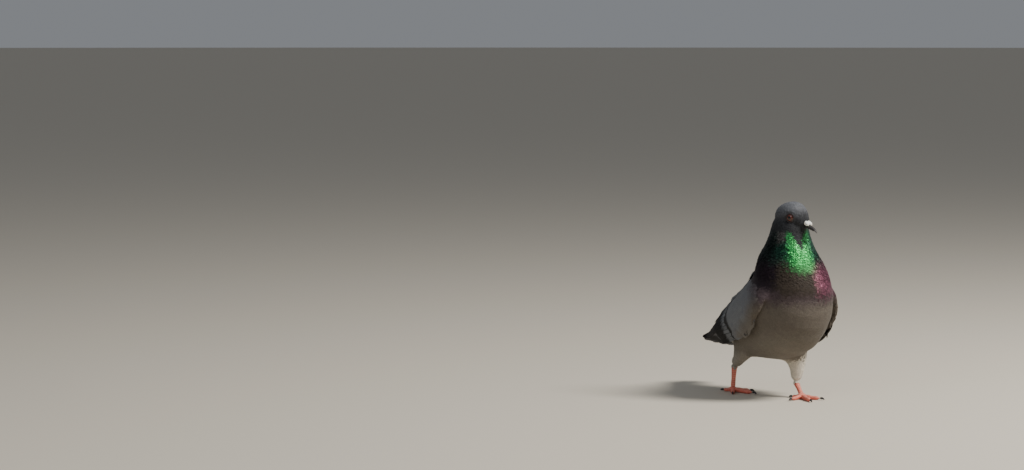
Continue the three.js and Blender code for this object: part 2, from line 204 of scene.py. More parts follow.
class Surface:
    # a smooth shell that feathers lie on
    def __init__(self, points, faces):
        self.points, self.faces = points, faces
        self.normals = normalsOf(points, faces)
        self.tree = BVHTree.FromPolygons(points.tolist(), faces.tolist())

    def snap(self, places):
        flat = places.reshape(-1, 3)
        hits = [self.tree.find_nearest(p) for p in flat.tolist()]
        near = np.array([hit[0][:] for hit in hits])
        corner = self.faces[np.array([hit[2] for hit in hits])]
        a, b, c = (self.points[corner[:, i]] for i in range(3))
        ab, ac, ap = b - a, c - a, near - a
        d00, d01, d11 = dot(ab, ab), dot(ab, ac), dot(ac, ac)
        d20, d21 = dot(ap, ab), dot(ap, ac)
        low = np.maximum(d00 * d11 - d01 * d01, 1e-12)
        v, w = (d11 * d20 - d01 * d21) / low, (d00 * d21 - d01 * d20) / low
        n = self.normals
        normal = unit(n[corner[:, 0]] * (1 - v - w) + n[corner[:, 1]] * v + n[corner[:, 2]] * w)
        return near.reshape(places.shape), normal.reshape(places.shape)


# The line that the plumage follows from the bill's root to the tail, with the size of the
# feathers at each of its points: length, width, spacing, and the coat's depth.
lieLine = placed([
    [7, 72, 196], [3, 55, 203], [0, 40, 199], [-1, 33, 184], [0, 40, 165], [0, 45, 142],
    [0, 38, 118], [0, 12, 100], [0, -25, 88], [2, -60, 80], [14, -100, 60],
])
lieSizes = np.array([
    [2.6, 1.5, 0.80, 0.5], [3.2, 1.8, 0.95, 0.8], [3.8, 2.2, 1.05, 1.0], [4.2, 2.4, 1.1, 1.3],
    [5.3, 2.9, 1.2, 1.7], [6.8, 3.7, 1.4, 2.0], [8.8, 4.9, 1.7, 2.3], [11, 6.2, 2.05, 2.3],
    [13, 7.6, 2.5, 2.1], [16, 9, 3.0, 2.0], [18, 10, 3.4, 1.6],
])
lieSpans = np.linalg.norm(np.diff(lieLine, axis=0), axis=1)
lieStarts = np.concatenate([[0], np.cumsum(lieSpans)])
lieReach = 9.0  # how sharply the nearest stretch of the line wins over the others

thighs = {"left": ([21, 20, 64], [19, 30, 17]), "right": ([-21, -8, 66], [-16.5, -39, 31])}
eyes = {}
eyeSwirl = {"push": 0.9, "reach": (5.0, 9.5)}  # close round the eyes the coat leads away


def lieOf(points):
    # the direction of the coat over each point, and how far along the line it is
    start, span = lieLine[:-1], np.diff(lieLine, axis=0)
    t = ((points[:, None] - start) * span).sum(-1) / (span ** 2).sum(-1)
    t = np.clip(t, 0, 1)
    apart = np.linalg.norm(points[:, None] - start - span * t[..., None], axis=-1)
    weight = np.exp(-(apart - apart.min(axis=1, keepdims=True)) / lieReach)
    weight /= weight.sum(axis=1, keepdims=True)
    direction = (weight[..., None] * unit(span)).sum(axis=1)
    along = (weight * (lieStarts[:-1] + t * lieSpans)).sum(axis=1)
    for centre in eyes.values():
        away = points - centre
        far = np.linalg.norm(away, axis=1, keepdims=True)
        push = eyeSwirl["push"] * (1 - ramp(far, *eyeSwirl["reach"]))
        direction = direction + away / np.maximum(far, 1e-6) * push
    return unit(direction), along


def sizesAt(along):
    return np.stack([np.interp(along, lieStarts, lieSizes[:, i]) for i in range(4)], axis=1)


def vaneGrid(settings):
    # One feather's faces, with each corner's place round it and each point's place along and
    # across it. The first and last points are the root and the tip.
    rows, columns = len(settings["rows"]), settings["columns"]
    c = np.linspace(-1, 1, columns)
    ring = np.concatenate([c, c[-2:0:-1]])
    r = len(ring)
    last = 1 + (rows - 3) * r
    faces, turn = [], []
    for k in range(rows - 3):
        for j in range(r):
            a, b = 1 + k * r + j, 1 + k * r + (j + 1) % r
            faces += [(a, b, b + r), (a, b + r, a + r)]
            turn += [(j, j + 1, j + 1), (j, j + 1, j)]
    for j in range(r):
        faces += [(0, 1 + (j + 1) % r, 1 + j), (last + r, last + j, last + (j + 1) % r)]
        turn += [(j + 0.5, j + 1, j), (j + 0.5, j, j + 1)]
    share = settings["rows"]
    along = np.concatenate([[share[0]], np.repeat(share[1:-1], r), [share[-1]]])
    cross = np.concatenate([[0], np.tile(ring, rows - 2), [0]])
    isRim = np.concatenate([[True], np.tile(np.abs(ring) == 1, rows - 2), [True]])
    isUnder = np.arange(r) >= columns
    return {
        "faces": np.array(faces), "turn": np.array(turn) / r, "along": along, "cross": cross,
        "isRim": isRim, "ring": ring, "sign": np.where(isUnder, -0.5, 0.5),
    }


def layFeathers(surface, roots, direction, sizes, settings, rng, lie=None, ruffle=1.0):
    # Walks each feather's shaft over the surface. sizes has length, width, root height and
    # tip height for each feather, heights being over the surface. ruffle is how unruly each is.
    # Gives each feather's points.
    share = np.array(settings["rows"])
    grid = vaneGrid(settings)
    count = len(roots)
    length, width, low, high = (sizes[:, i:i + 1] for i in range(4))
    ruffle = np.broadcast_to(ruffle, count)[:, None]
    yaw = rng.normal(0, settings["yaw"], (count, 1)) * ruffle
    roll = rng.normal(0, settings["roll"], (count, 1)) * ruffle + settings.get("tilt", 0)
    lift = rng.normal(0, settings["lift"], (count, 1)) * ruffle
    length = length * (1 + rng.normal(0, settings["spread"], (count, 1)))
    base, normal = surface.snap(roots)
    direction = across(direction, normal)
    direction = direction * np.cos(yaw) + np.cross(normal, direction) * np.sin(yaw)
    middle = np.empty((count, len(share), 3))
    sides, ups = np.empty_like(middle), np.empty_like(middle)
    heights = np.empty((count, len(share)))
    for k, t in enumerate(share):
        if k:
            if lie is not None:
                direction = across(direction * 0.8 + lie(base) * 0.2, normal)
            base, normal = surface.snap(base + direction * length * (t - share[k - 1]))
            direction = across(direction, normal)
        rise = min(1.0, t * 1.08) ** settings["climb"]
        curl = settings["curl"] * max(0.0, t - 0.6) ** 2 * length * ruffle
        height = low + (high - low + lift) * rise + curl
        middle[:, k] = base + normal * height
        heights[:, k] = height[:, 0]
        ups[:, k] = normal
        sides[:, k] = np.cross(normal, direction)
    turned = sides * np.cos(roll[..., None]) + ups * np.sin(roll[..., None])
    ups = unit(np.cross(np.gradient(middle, axis=1), turned))
    half = 0.5 * width * np.array(settings["outline"])
    inner = slice(1, len(share) - 1)
    bend = np.zeros((count, len(share) - 2, 2))
    for i, end in enumerate((-1, 1)):
        edge = middle[:, inner] + sides[:, inner] * half[:, inner, None] * end
        near, normal = surface.snap(edge)
        over = dot(edge - near, normal)[..., 0]
        bend[..., i] = heights[:, inner] - over
    reach = half[:, inner, None]
    bend = np.clip(bend, -0.7 * reach, 0.2 * reach)
    ring = grid["ring"]
    height = np.where(ring < 0, bend[..., :1], bend[..., 1:]) * ring ** 2
    height += settings["thick"] * (1 - ring ** 2) * grid["sign"]
    height -= settings["camber"] * reach * ring ** 2
    body = (middle[:, inner, None] + turned[:, inner, None] * (reach * ring)[..., None]
            + ups[:, inner, None] * height[..., None])
    return np.concatenate([middle[:, :1], body.reshape(count, -1, 3), middle[:, -1:]], axis=1)


class Coat:
    # Many feathers joined as one piece. paint is the colour of each feather or of each of its
    # points, with the gloss as the fourth number; cells are the feathers' places on the unwrap.
    def __init__(self, name):
        self.name = name
        self.parts = []

    def add(self, points, settings, paint, cells, rng, cell=0.003):
        count = len(points)
        if paint.ndim == 2:
            paint = np.repeat(paint[:, None], points.shape[1], axis=1)
        tuft = np.repeat(rng.random((count, 1)), points.shape[1], axis=1)
        self.parts.append((points, vaneGrid(settings), paint, cells, tuft, cell))

    def make(self, looks, slot, nodes=()):
        points, faces, start = [], [], 0
        paint, tuft, rim, bake, vane = [], [], [], [], []
        for shape, grid, colours, cells, random, cell in self.parts:
            count, size = shape.shape[:2]
            offset = start + np.arange(count)[:, None, None] * size
            points.append(shape.reshape(-1, 3))
            faces.append((grid["faces"][None] + offset).reshape(-1, 3))
            start += count * size
            paint.append(colours.reshape(-1, 4))
            tuft.append(random.ravel())
            rim.append(np.tile(grid["isRim"], count))
            along = grid["along"][grid["faces"]]
            patch = np.stack([grid["turn"], along], axis=-1) * cell
            bake.append((cells[:, None, None] + patch[None]).reshape(-1, 2))
            flat = np.stack([grid["cross"][grid["faces"]] * 0.5 + 0.5, along], axis=-1)
            vane.append(np.tile(flat.reshape(-1, 2), (count, 1)))
        mesh = meshFrom(self.name, np.concatenate(points), np.concatenate(faces))
        rim = np.concatenate(rim)
        ends = np.empty(len(mesh.edges) * 2, dtype=np.int32)
        mesh.edges.foreach_get("vertices", ends)
        sharp = mesh.attributes.new("sharp_edge", "BOOLEAN", "EDGE")
        sharp.data.foreach_set("value", rim[ends.reshape(-1, 2)].all(axis=1))
        setPaint(mesh, np.concatenate(paint))
        tufts = mesh.attributes.new("tuft", "FLOAT", "POINT")
        tufts.data.foreach_set("value", np.concatenate(tuft))
        for name, corners in (("OFBake", bake), ("vane", vane)):
            layer = mesh.uv_layers.new(name=name)
            layer.uv.foreach_set("vector", np.concatenate(corners).ravel())
        showPiece(self.name, mesh, looks, nodes)


def setPaint(mesh, paint):
    layer = mesh.color_attributes.new("paint", "FLOAT_COLOR", "POINT")
    layer.data.foreach_set("color", paint.ravel())


def showPiece(name, mesh, looks, nodes=()):
    mesh.materials.append(looks)
    obj = bpy.data.objects.new(name, mesh)
    bpy.context.scene.collection.objects.link(obj)
    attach(obj, "root")
    if nodes:
        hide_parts(*nodes)


def scattered(surface, chosen, spacing, rng):
    # Places on the chosen faces, each at least its spacing from the others. The spacing is a
    # number or a function of the place. Nine times as many are tried as there is room for.
    def spacingAt(places):
        return spacing(places) if callable(spacing) else np.full(len(places), spacing)

    a, b, c = surface.points[surface.faces[chosen]].transpose(1, 0, 2)
    area = np.linalg.norm(np.cross(b - a, c - a), axis=1) / 2
    weight = area / spacingAt((a + b + c) / 3) ** 2
    count = int(weight.sum() * 9)
    picked = rng.choice(len(area), count, p=weight / weight.sum())
    u, v = np.sqrt(rng.random((count, 1))), rng.random((count, 1))
    points = a[picked] * (1 - u) + b[picked] * (u * (1 - v)) + c[picked] * (u * v)
    reach = spacingAt(points)
    tree = KDTree(count)
    for i, p in enumerate(points.tolist()):
        tree.insert(p, i)
    tree.balance()
    isFree = np.ones(count, bool)
    kept = []
    for i, p in enumerate(points.tolist()):
        if isFree[i]:
            kept.append(i)
            for _, j, _ in tree.find_range(p, reach[i]):
                isFree[j] = False
    return points[kept]


wingNodes = {
    side: [f"wing_{side}_{part}" for part in ("coverts", "secondaries", "primaries")]
    for side in ("left", "right")
}
fleshNodes = ["head", "neck", "trunk", "rump", "thigh_left", "thigh_right"]
bedNodes = [name for side in wingNodes for name in wingNodes[side][:2]]
everyFeatheredNode = fleshNodes + ["tail"] + [n for side in wingNodes for n in wingNodes[side]]

shells = {"form": (1.2, 6), "plump": (2.2, 6)}  # voxel size and rounds of smoothing
form = Surface(*closedOver(everyFeatheredNode + ["eye_left", "eye_right"], *shells["form"]))

furrows = {
    # where the filling starts and is whole, by height, how far ahead and how far out
    "low": (30, 40), "top": (172, 158), "front": (-12, 4), "rounds": 500,
    "wingOut": (33, 39), "wingTop": (88, 78),  # the wings' lower edges stay clear of the belly
    "shoulderOut": (24, 32), "shoulderFront": (14, 26), "shoulderLow": (80, 90),
    "shoulderTop": (140, 128), "shoulderRounds": 1500, "step": 0.9,
}


def furrowsFilled(surface):
    # the shell with the furrows round the wings' fronts and the thighs' tops filled
    points, faces, f = surface.points, surface.faces, furrows
    out, ahead, high = np.abs(outOf(points)), aheadOf(points), points[:, 2]
    weight = ramp(high, *f["low"]) * ramp(high, *f["top"]) * ramp(ahead, *f["front"])
    weight *= 1 - ramp(out, *f["wingOut"]) * ramp(high, *f["wingTop"])
    points = relaxed(points, faces, f["rounds"], (f["step"],), weight)
    out, ahead, high = np.abs(outOf(points)), aheadOf(points), points[:, 2]
    weight = ramp(out, *f["shoulderOut"]) * ramp(ahead, *f["shoulderFront"])
    weight *= ramp(high, *f["shoulderLow"]) * ramp(high, *f["shoulderTop"])
    points = relaxed(points, faces, f["shoulderRounds"], (f["step"],), weight)
    return Surface(relaxed(points, faces, 10), faces)


plump = furrowsFilled(Surface(*closedOver(everyFeatheredNode, *shells["plump"])))
print("form", len(form.faces), "faces, plump", len(plump.faces))

nodeOwner, ownerPoints, ownerFaces, at = [], [], [], 0
for index, name in enumerate(everyFeatheredNode):
    nodePoints, nodeFaces = nodeArrays([name])
    ownerPoints.append(nodePoints)
    ownerFaces.append(nodeFaces + at)
    nodeOwner += [index] * len(nodeFaces)
    at += len(nodePoints)
nodeTree = BVHTree.FromPolygons(
    np.concatenate(ownerPoints).tolist(), np.concatenate(ownerFaces).tolist())
nodeOwner = np.array(nodeOwner)


def ownersOf(points):
    # which feathered node each point is on
    hits = [nodeTree.find_nearest(p)[2] for p in points.tolist()]
    return nodeOwner[np.array(hits)]


def sphereOf(name):
    # the middle and radius of the ball that fits a node best
    points, _ = nodeArrays([name])
    matrix = np.concatenate([2 * points, np.ones((len(points), 1))], axis=1)
    found = np.linalg.lstsq(matrix, (points ** 2).sum(axis=1), rcond=None)[0]
    return found[:3], float(np.sqrt(found[3] + (found[:3] ** 2).sum()))


eyeBalls = {side: sphereOf(f"eye_{side}") for side in ("left", "right")}
headOut = unit(eyeBalls["left"][0] - eyeBalls["right"][0])
billMiddle = nodeArrays(["bill_upper"])[0].mean(axis=0)
headMiddle = (eyeBalls["left"][0] + eyeBalls["right"][0]) / 2
headAhead = across(billMiddle - headMiddle, headOut)
headUp = np.cross(headAhead, -headOut)
headUp *= np.sign(headUp[2])
gazeAhead = 0.16  # how far the eyes look ahead of straight out
gazes = {side: unit(sign * headOut + gazeAhead * headAhead)
         for side, sign in (("left", 1), ("right", -1))}
for side, (centre, radius) in eyeBalls.items():
    eyes[side] = centre + gazes[side] * radius


hues = {name: linear(code) for name, code in {
    "slate": "#3c3d41",  # head
    # the slate head is painted lighter on the crown, a painted highlight, and darker on the cheeks,
    # painted shade
    "painted lit crown": "#5d5f64",
    "painted shaded cheek": "#242528",
    "green": "#37914c",  # glossy neck, brightest in a painted sheen at its front, with painted shade darkening its sides
    # teal, ink and plum are the glossy neck in painted shade
    "shaded teal": "#26463a",
    "shaded ink": "#18221f",
    "shaded plum": "#21191f",
    "purple": "#7c4c5c",
    "dusk": "#453a3d",
    "bronze": "#332c26",
    "smoke": "#4c4b48",
    "breast": "#5d564e",
    "flank": "#6c665d",
    "vent": "#8f8b85",
    # pale thigh feathering, painted lighter on the left and darker on the right: painted light and
    # shade
    "left thigh": "#d0c8b9",
    "right thigh": "#8f897f",
    "mantle": "#64666c",
    "rump": "#9c9ea2",
    "wing": "#66686b",
    "wingEdge": "#757779",
    "black": "#141314",
    "flight": "#242122",
    "tail": "#5a5a5f",
    "tail band": "#2a2a2c",
}.items()}


def hueOf(colour):
    return hues[colour] if isinstance(colour, str) else colour


def mixed(colour, *layers):
    # hues or colours over one another, each told before its share
    colour = hueOf(colour)
    for over, share in zip(layers[::2], layers[1::2]):
        colour = colour + (hueOf(over) - colour) * np.asarray(share)[..., None]
    return colour


def matt(colour):
    # the colour with no gloss
    return np.concatenate([colour, 0 * colour[..., :1]], axis=-1)


def farFrom(points, start, end):
    # how far points are from a straight line between two places
    span = end - start
    t = np.clip((points - start) @ span / (span @ span), 0, 1)
    return np.linalg.norm(points - start - span * t[:, None], axis=1)


markings = {
    # Where each marking starts and is whole: by height, how far ahead, how far from the leg,
    # how far the surface looks up, or the angle round the neck, in degrees to the left.
    "flankHigh": (95, 60), "ventAhead": (5, -35), "ventHigh": (90, 60), "legFar": (24, 12),
    "legHigh": (60, 44), "mantleUp": (-0.1, 0.5), "mantleAhead": (45, 15),
    "mantleHigh": (80, 105), "rumpAhead": (-30, -48), "rumpHigh": (76, 88),
    "tailAhead": (-66, -74), "glossHigh": (108, 124), "glossAhead": (0, 14),
    "shadedTealSide": (12, 40), "shadedInkSide": (44, 72), "smokeHigh": (174, 180), "smokeBack": (-84, -66),
    "smokeFront": (-36, -50), "purple": (-2, 22), "shadedPlumRight": (-52, -70),
    "shadedPlumLeft": (60, 100), "duskHigh": (130, 116), "lowerHigh": (160, 142),
    "thighHigh": (60, 42), "sideHigh": (134, 125), "shadedSideDusk": (-45, -62), "litCrownHigh": (203, 213),
    "shadedCheekHigh": (206, 194), "billShadowAhead": (58, 66), "dullLower": (12, -4),
    "paintedSheenAngle": -13,  # the angle that the green's painted sheen is centred on
    "dips": (0.0035, 0.006), "dipReach": 38,  # how the green's lower edge rises to each side
    # the bill's painted shadow on the throat: how far it runs down, where its middle lies out, and
    # half its width
    "billShadow": (17, -2.8, 8), "hood": (189, 0.12, 2.4),
}


def bodyPaint(points, normals, wobble):
    # colour and gloss of skin and feathers by their place on the body
    m = markings
    out, ahead, high = outOf(points), aheadOf(points) + wobble[:, 0], points[:, 2] + wobble[:, 1]
    colour = mixed("breast", "flank", ramp(high, *m["flankHigh"]),
                   "vent", ramp(ahead, *m["ventAhead"]) * ramp(high, *m["ventHigh"]))
    # near each leg the thigh's hue, darker on the right as painted shade
    for leg, ends in thighs.items():
        near = ramp(farFrom(points, *placed(ends)), *m["legFar"])
        colour = mixed(colour, f"{leg} thigh", near * ramp(high, *m["legHigh"]))
    upward = ramp(normals[:, 2], *m["mantleUp"]) * ramp(ahead, *m["mantleAhead"])
    colour = mixed(colour, "mantle", upward * ramp(high, *m["mantleHigh"]),
                   "rump", ramp(ahead, *m["rumpAhead"]) * ramp(high, *m["rumpHigh"]),
                   "tail band", ramp(ahead, *m["tailAhead"]))
    # The glossy ring round the neck: green over bronze at the front, brightest where the painted
    # sheen is centred, purple on the left, and painted shade (dark teal, ink and plum) on the right
    # and behind.
    angle = np.degrees(np.arctan2(out, ahead - 46 + (high - 150) * 0.1)) + wobble[:, 1] * 2
    gloss = ramp(high, *m["glossHigh"]) * ramp(ahead, *m["glossAhead"])
    side = np.abs(angle - m["paintedSheenAngle"])
    smoke = ramp(angle, *m["smokeBack"]) * ramp(angle, *m["smokeFront"])
    ring = mixed("green", "shaded teal", ramp(side, *m["shadedTealSide"]), "shaded ink", ramp(side, *m["shadedInkSide"]),
                 "smoke", ramp(high, *m["smokeHigh"]) * smoke)
    # the lower ring goes to plum on the right and towards the nape, and to dusk low on the right:
    # painted shade
    lower = mixed("bronze", "purple", ramp(angle, *m["purple"]),
                  "shaded plum", ramp(angle, *m["shadedPlumRight"]) + ramp(angle, *m["shadedPlumLeft"]),
                  "dusk", ramp(high, *m["duskHigh"]))
    dip = np.where(angle > m["paintedSheenAngle"], *m["dips"]) * np.minimum(side, m["dipReach"]) ** 2
    isLower = ramp(high - dip, *m["lowerHigh"])
    ring = mixed(ring, lower, isLower,
                 "dusk", ramp(high, *m["sideHigh"]) * ramp(angle, *m["shadedSideDusk"]))
    # the dark head runs down the throat in a wedge, a painted shadow of the bill
    depth, middle, half = m["billShadow"]
    billShadow = np.clip(1 - np.abs(out - middle) / half, 0, 1) * ramp(ahead, *m["billShadowAhead"]) * depth
    level, slope, soft = m["hood"]
    edge = level - billShadow - slope * (ahead - 45)
    isHead = ramp(high, edge - soft, edge + soft)
    # the slate head with a painted highlight on the crown and painted shade on the cheeks
    head = mixed("slate", "painted lit crown", ramp(high, *m["litCrownHigh"]),
                 "painted shaded cheek", ramp(high, *m["shadedCheekHigh"]))
    colour = mixed(colour, ring, gloss, head, isHead)
    shine = gloss * (1 - isHead) * (1 - 0.75 * isLower * ramp(angle, *m["dullLower"]))
    return np.concatenate([colour, shine[:, None]], axis=1)


# paler low on the thigh; the right thigh's hue is darker, painted shade
def thighPaint(points, side):
    pale = ramp(points[:, 2], *markings["thighHigh"])
    return matt(mixed("flank", f"{side} thigh", pale))


skinDepths = {
    "voxel": 1.5, "rounds": 8, "wing": 1.3, "thigh": 1.4,
    "share": 0.3,  # of the room inside, at most
    "shadedInnerTop": 78,  # below this height the inside of the left wing is painted black, a painted shadow under its lower edge
}


def skinPiece(looks):
    # the flesh and the wings as one skin, inside the CAD by the coat's depth
    points, faces = closedOver(fleshNodes + bedNodes, skinDepths["voxel"], skinDepths["rounds"])
    normals = normalsOf(points, faces)
    tree = BVHTree.FromPolygons(points.tolist(), faces.tolist())
    names = np.array(everyFeatheredNode)[ownersOf(points)]
    isWing, isThigh = (np.char.startswith(names, kind) for kind in ("wing", "thigh"))
    depth = np.where(isWing, skinDepths["wing"], sizesAt(lieOf(points)[1])[:, 3])
    depth = np.where(isThigh, skinDepths["thigh"], depth)
    starts, ways = (points - normals * 0.05).tolist(), (-normals).tolist()
    hits = [tree.ray_cast(p, d, 30)[3] for p, d in zip(starts, ways)]
    room = np.array([30.0 if h is None else h for h in hits])
    points = points - normals * np.minimum(depth, skinDepths["share"] * room)[:, None]
    points = relaxed(points, faces, 2)
    paint = bodyPaint(points, normals, np.zeros((len(points), 2)))
    for side, isSide in (("left", outOf(points) > 0), ("right", outOf(points) <= 0)):
        paint[isThigh & isSide] = thighPaint(points[isThigh & isSide], side)
    paint[isWing] = matt(hues["wing"])
    # painted shadow: the left wing's inside, facing the body, is black low down
    isShadedInner = isWing & (normals[:, 0] < 0) & (outOf(points) > 0)
    paint[isShadedInner & (points[:, 2] < skinDepths["shadedInnerTop"])] = matt(hues["black"])
    mesh = meshFrom("skin", points, faces)
    setPaint(mesh, paint)
    print("skin", len(faces))
    showPiece("skin", mesh, looks, fleshNodes + bedNodes)


bodyStyle = {
    "rows": [0, 0.16, 0.36, 0.56, 0.74, 0.88, 0.96, 1],
    "outline": [0, 0.6, 0.9, 1, 0.98, 0.8, 0.5, 0],
    "columns": 5, "thick": 0.16, "camber": 0.1, "yaw": 0.1, "roll": 0.06, "lift": 0.12,
    "spread": 0.1, "climb": 0.7, "curl": 0,
}
breastStyle = {
    **bodyStyle, "rows": [0, 0.18, 0.4, 0.62, 0.82, 0.94, 1],
    "outline": [0, 0.7, 0.95, 1, 0.86, 0.55, 0],
    "columns": 3, "thick": 0.08, "camber": 0.04, "yaw": 0.16, "roll": 0.02, "lift": 0.03,
    "climb": 0.3,
}
smallStyle = {
    **bodyStyle, "rows": [0, 0.22, 0.5, 0.76, 0.92, 1], "outline": [0, 0.75, 1, 0.95, 0.62, 0],
    "columns": 3, "thick": 0.12,
}
headStyle = {**smallStyle, "yaw": 0.12, "roll": 0.12, "lift": 0.06}
neckStyle = {
    **smallStyle, "outline": [0, 0.75, 1, 0.85, 0.5, 0], "camber": 0.04,
    "yaw": 0.16, "roll": 0.12, "lift": 0.13, "curl": 0.12,
}
thighStyle = {**smallStyle, "yaw": 0.12, "roll": 0.05, "lift": 0.06, "camber": 0.05}
coatParts = {  # where each stretch of the lie line starts and ends, its style and its slot
    "headCoat": (0, 50, headStyle, "slate_plumage"),
    "neckCoat": (50, 94, neckStyle, "neck_plumage"),
    "breastCoat": (94, 400, breastStyle, "body_plumage"),
}


def openFaces(surface, names, room=5):
    # the surface's faces that belong to these nodes and aren't hidden in a fold
    middle = surface.points[surface.faces].mean(axis=1)
    owner = ownersOf(middle)
    index = [everyFeatheredNode.index(name) for name in names]
    found = np.flatnonzero(np.isin(owner, index))
    normal = unit(surface.normals[surface.faces[found]].mean(axis=1))
    starts = (middle[found] + normal * 0.6).tolist()
    hits = [surface.tree.ray_cast(p, d, room)[0] for p, d in zip(starts, normal.tolist())]
    return found[np.array([h is None for h in hits])]


def unwrapBody(points, reach=15):
    # round the lie line, and along it
    nearest = np.linalg.norm(points[:, None] - lieLine, axis=-1)
    weight = np.exp(-(nearest - nearest.min(axis=1, keepdims=True)) / reach)
    weight /= weight.sum(axis=1, keepdims=True)
    middle = (weight[..., None] * lieLine).sum(axis=1)
    tangents = unit(np.gradient(lieLine, axis=0))
    tangent = unit((weight[..., None] * tangents).sum(axis=1))
    upward = unit(np.cross(tangent, [1.0, 0, 0]))
    rel = points - middle
    angle = np.arctan2(rel[:, 0], (rel * upward).sum(axis=1))
    return np.stack([angle / (2 * pi) + 0.5, lieOf(points)[1] / lieStarts[-1]], axis=1)


def fitted(cells, size=0.003, edge=0.004):
    # the cells spread over the whole unwrap but its edge, with room for the last one
    low, high = cells.min(axis=0), cells.max(axis=0)
    return edge + (cells - low) / np.maximum(high - low, 1e-6) * (1 - 2 * edge - size)


coatLimits = {
    "wingGap": -13, "wingLow": 90,  # on the wings, only at their fronts and above this height
    "thighLow": 47, "eyeGap": 4.6,
    # none on the back, which has its own: where it looks up, behind and below these
    "backUp": 0.15, "backAhead": 26, "backHigh": 136, "rumpAhead": -45, "rumpHigh": 74,
}


def coatRoots(bed, rng):
    limits = coatLimits
    chosen = openFaces(bed, ["head", "neck", "trunk", "rump"])
    fronts = openFaces(bed, [names[0] for names in wingNodes.values()])
    middle = raised(bed.points[bed.faces[fronts]].mean(axis=1))
    isFront = (gapAhead(middle, wingFront) > limits["wingGap"]) & (middle[:, 2] > limits["wingLow"])
    tops = openFaces(bed, ["thigh_left", "thigh_right"], 1.5)
    isTop = bed.points[bed.faces[tops]].mean(axis=1)[:, 2] > limits["thighLow"]
    chosen = np.concatenate([chosen, fronts[isFront], tops[isTop]])
    roots = scattered(bed, chosen, lambda p: sizesAt(lieOf(p)[1])[:, 2], rng)
    normal, ahead, high = bed.snap(roots)[1], aheadOf(roots), roots[:, 2]
    isClear = (normal[:, 2] < limits["backUp"]) | (ahead > limits["backAhead"])
    isClear |= high > limits["backHigh"]
    isClear &= (ahead > limits["rumpAhead"]) | (high < limits["rumpHigh"])
    for centre in eyes.values():
        isClear &= np.linalg.norm(roots - centre, axis=1) > limits["eyeGap"]
    return roots[isClear], normal[isClear]


coatTips = 0.04  # how high the feathers' tips lie over the form
calm = {"least": 0.25, "high": (144, 162)}  # the lower feathers lie more evenly
wobble = 1.2  # how far the markings' edges stray from feather to feather


def bodyCoats(looks):
    rng = np.random.default_rng(11)
    for name, (start, end, style, slot) in coatParts.items():
        bed = form if name == "headCoat" else plump
        roots, normal = coatRoots(bed, rng)
        direction, along = lieOf(roots)
        mine = (along >= start) & (along < end)
        roots, normal, direction, along = (a[mine] for a in (roots, normal, direction, along))
        length, width, _, depth = sizesAt(along).T
        sizes = sideBySide(length, width, -depth, coatTips)
        paint = bodyPaint(roots, normal, rng.normal(0, wobble, (len(roots), 2)))
        ruffle = between((calm["least"], 1), ramp(roots[:, 2], *calm["high"]))
        shape = layFeathers(bed, roots, direction, sizes, style, rng, lambda p: lieOf(p)[0], ruffle)
        coat = Coat(name)
        coat.add(shape, style, paint, fitted(unwrapBody(roots)), rng)
        coat.make(looks[name], slot)
        print(name, len(roots), "feathers")


# The top and bottom of a folded wing, as [ahead, high].
wingTop = np.array([[-116, 56], [-96, 73], [-66, 96], [-35, 116], [-4, 134], [24, 145], [65, 137]])
wingLow = np.array([[-116, 56], [-92, 54], [-58, 58], [-20, 60], [12, 65], [38, 77], [65, 100]])
# how far the feathers point below straight back, at the bottom and the top, over [ahead]
wingAngles = {
    "ahead": [-116, -60, -20, 10, 30, 60], "low": [4, 7, 9, 16, 27, 42],
    "top": [28, 27, 25, 21, 16, 8],
}


class Sheet:
    # Heights over a flat grid, that long feathers lie on. u, v and up are its axes; the grid
    # has its start along u and v, how many places it has along each, and the step.
    def __init__(self, u, v, up, start, shape, step, tree=None):
        self.axes = np.array([u, v, up], float)
        self.zero = placed([[0, 0, 0]])[0]
        self.start, self.step = np.array(start, float), step
        self.heights = np.zeros(shape)
        if tree:
            self.heights = np.full(shape, np.nan)
            for i, j in np.ndindex(*shape):
                a, b = self.start + step * np.array([i, j])
                place = self.zero + np.array([a, b, 300.0]) @ self.axes
                hit = tree.ray_cast(Vector(place), Vector(-self.axes[2]), 300)[0]
                if hit is not None:
                    self.heights[i, j] = (np.array(hit[:]) - self.zero) @ self.axes[2]
        self.isKnown = ~np.isnan(self.heights)
        self.fill()

    def fill(self):
        # past the edges the heights go on level
        self.heights[~self.isKnown] = np.nanmean(self.heights)
        for _ in range(400):
            self.heights = np.where(self.isKnown, self.heights, self.blurred())
        for _ in range(3):
            self.heights = 0.5 * self.heights + 0.5 * self.blurred()
        self.slopes = np.gradient(self.heights, self.step)

    def blurred(self):
        h = np.pad(self.heights, 1, mode="edge")
        return (h[:-2, 1:-1] + h[2:, 1:-1] + h[1:-1, :-2] + h[1:-1, 2:]) / 4

    def read(self, grid, flat):
        place = np.clip((flat - self.start) / self.step, 0, np.array(grid.shape) - 1.001)
        i, j = place[..., 0].astype(int), place[..., 1].astype(int)
        u, v = place[..., 0] - i, place[..., 1] - j
        return (grid[i, j] * (1 - u) * (1 - v) + grid[i + 1, j] * u * (1 - v)
                + grid[i, j + 1] * (1 - u) * v + grid[i + 1, j + 1] * u * v)

    def steepness(self, local):
        slope = [self.read(grid, local[..., :2]) for grid in self.slopes]
        return sideBySide(-slope[0], -slope[1], 1)

    def snap(self, places):
        local = (places - self.zero) @ self.axes.T
        steep = self.steepness(local)
        over = local[..., 2] - self.read(self.heights, local[..., :2])
        near = local - steep * (over / (steep ** 2).sum(-1))[..., None]
        return near @ self.axes + self.zero, unit(self.steepness(near) @ self.axes)

    def at(self, flat):
        local = np.concatenate([flat, self.read(self.heights, flat)[:, None]], axis=1)
        return local @ self.axes + self.zero


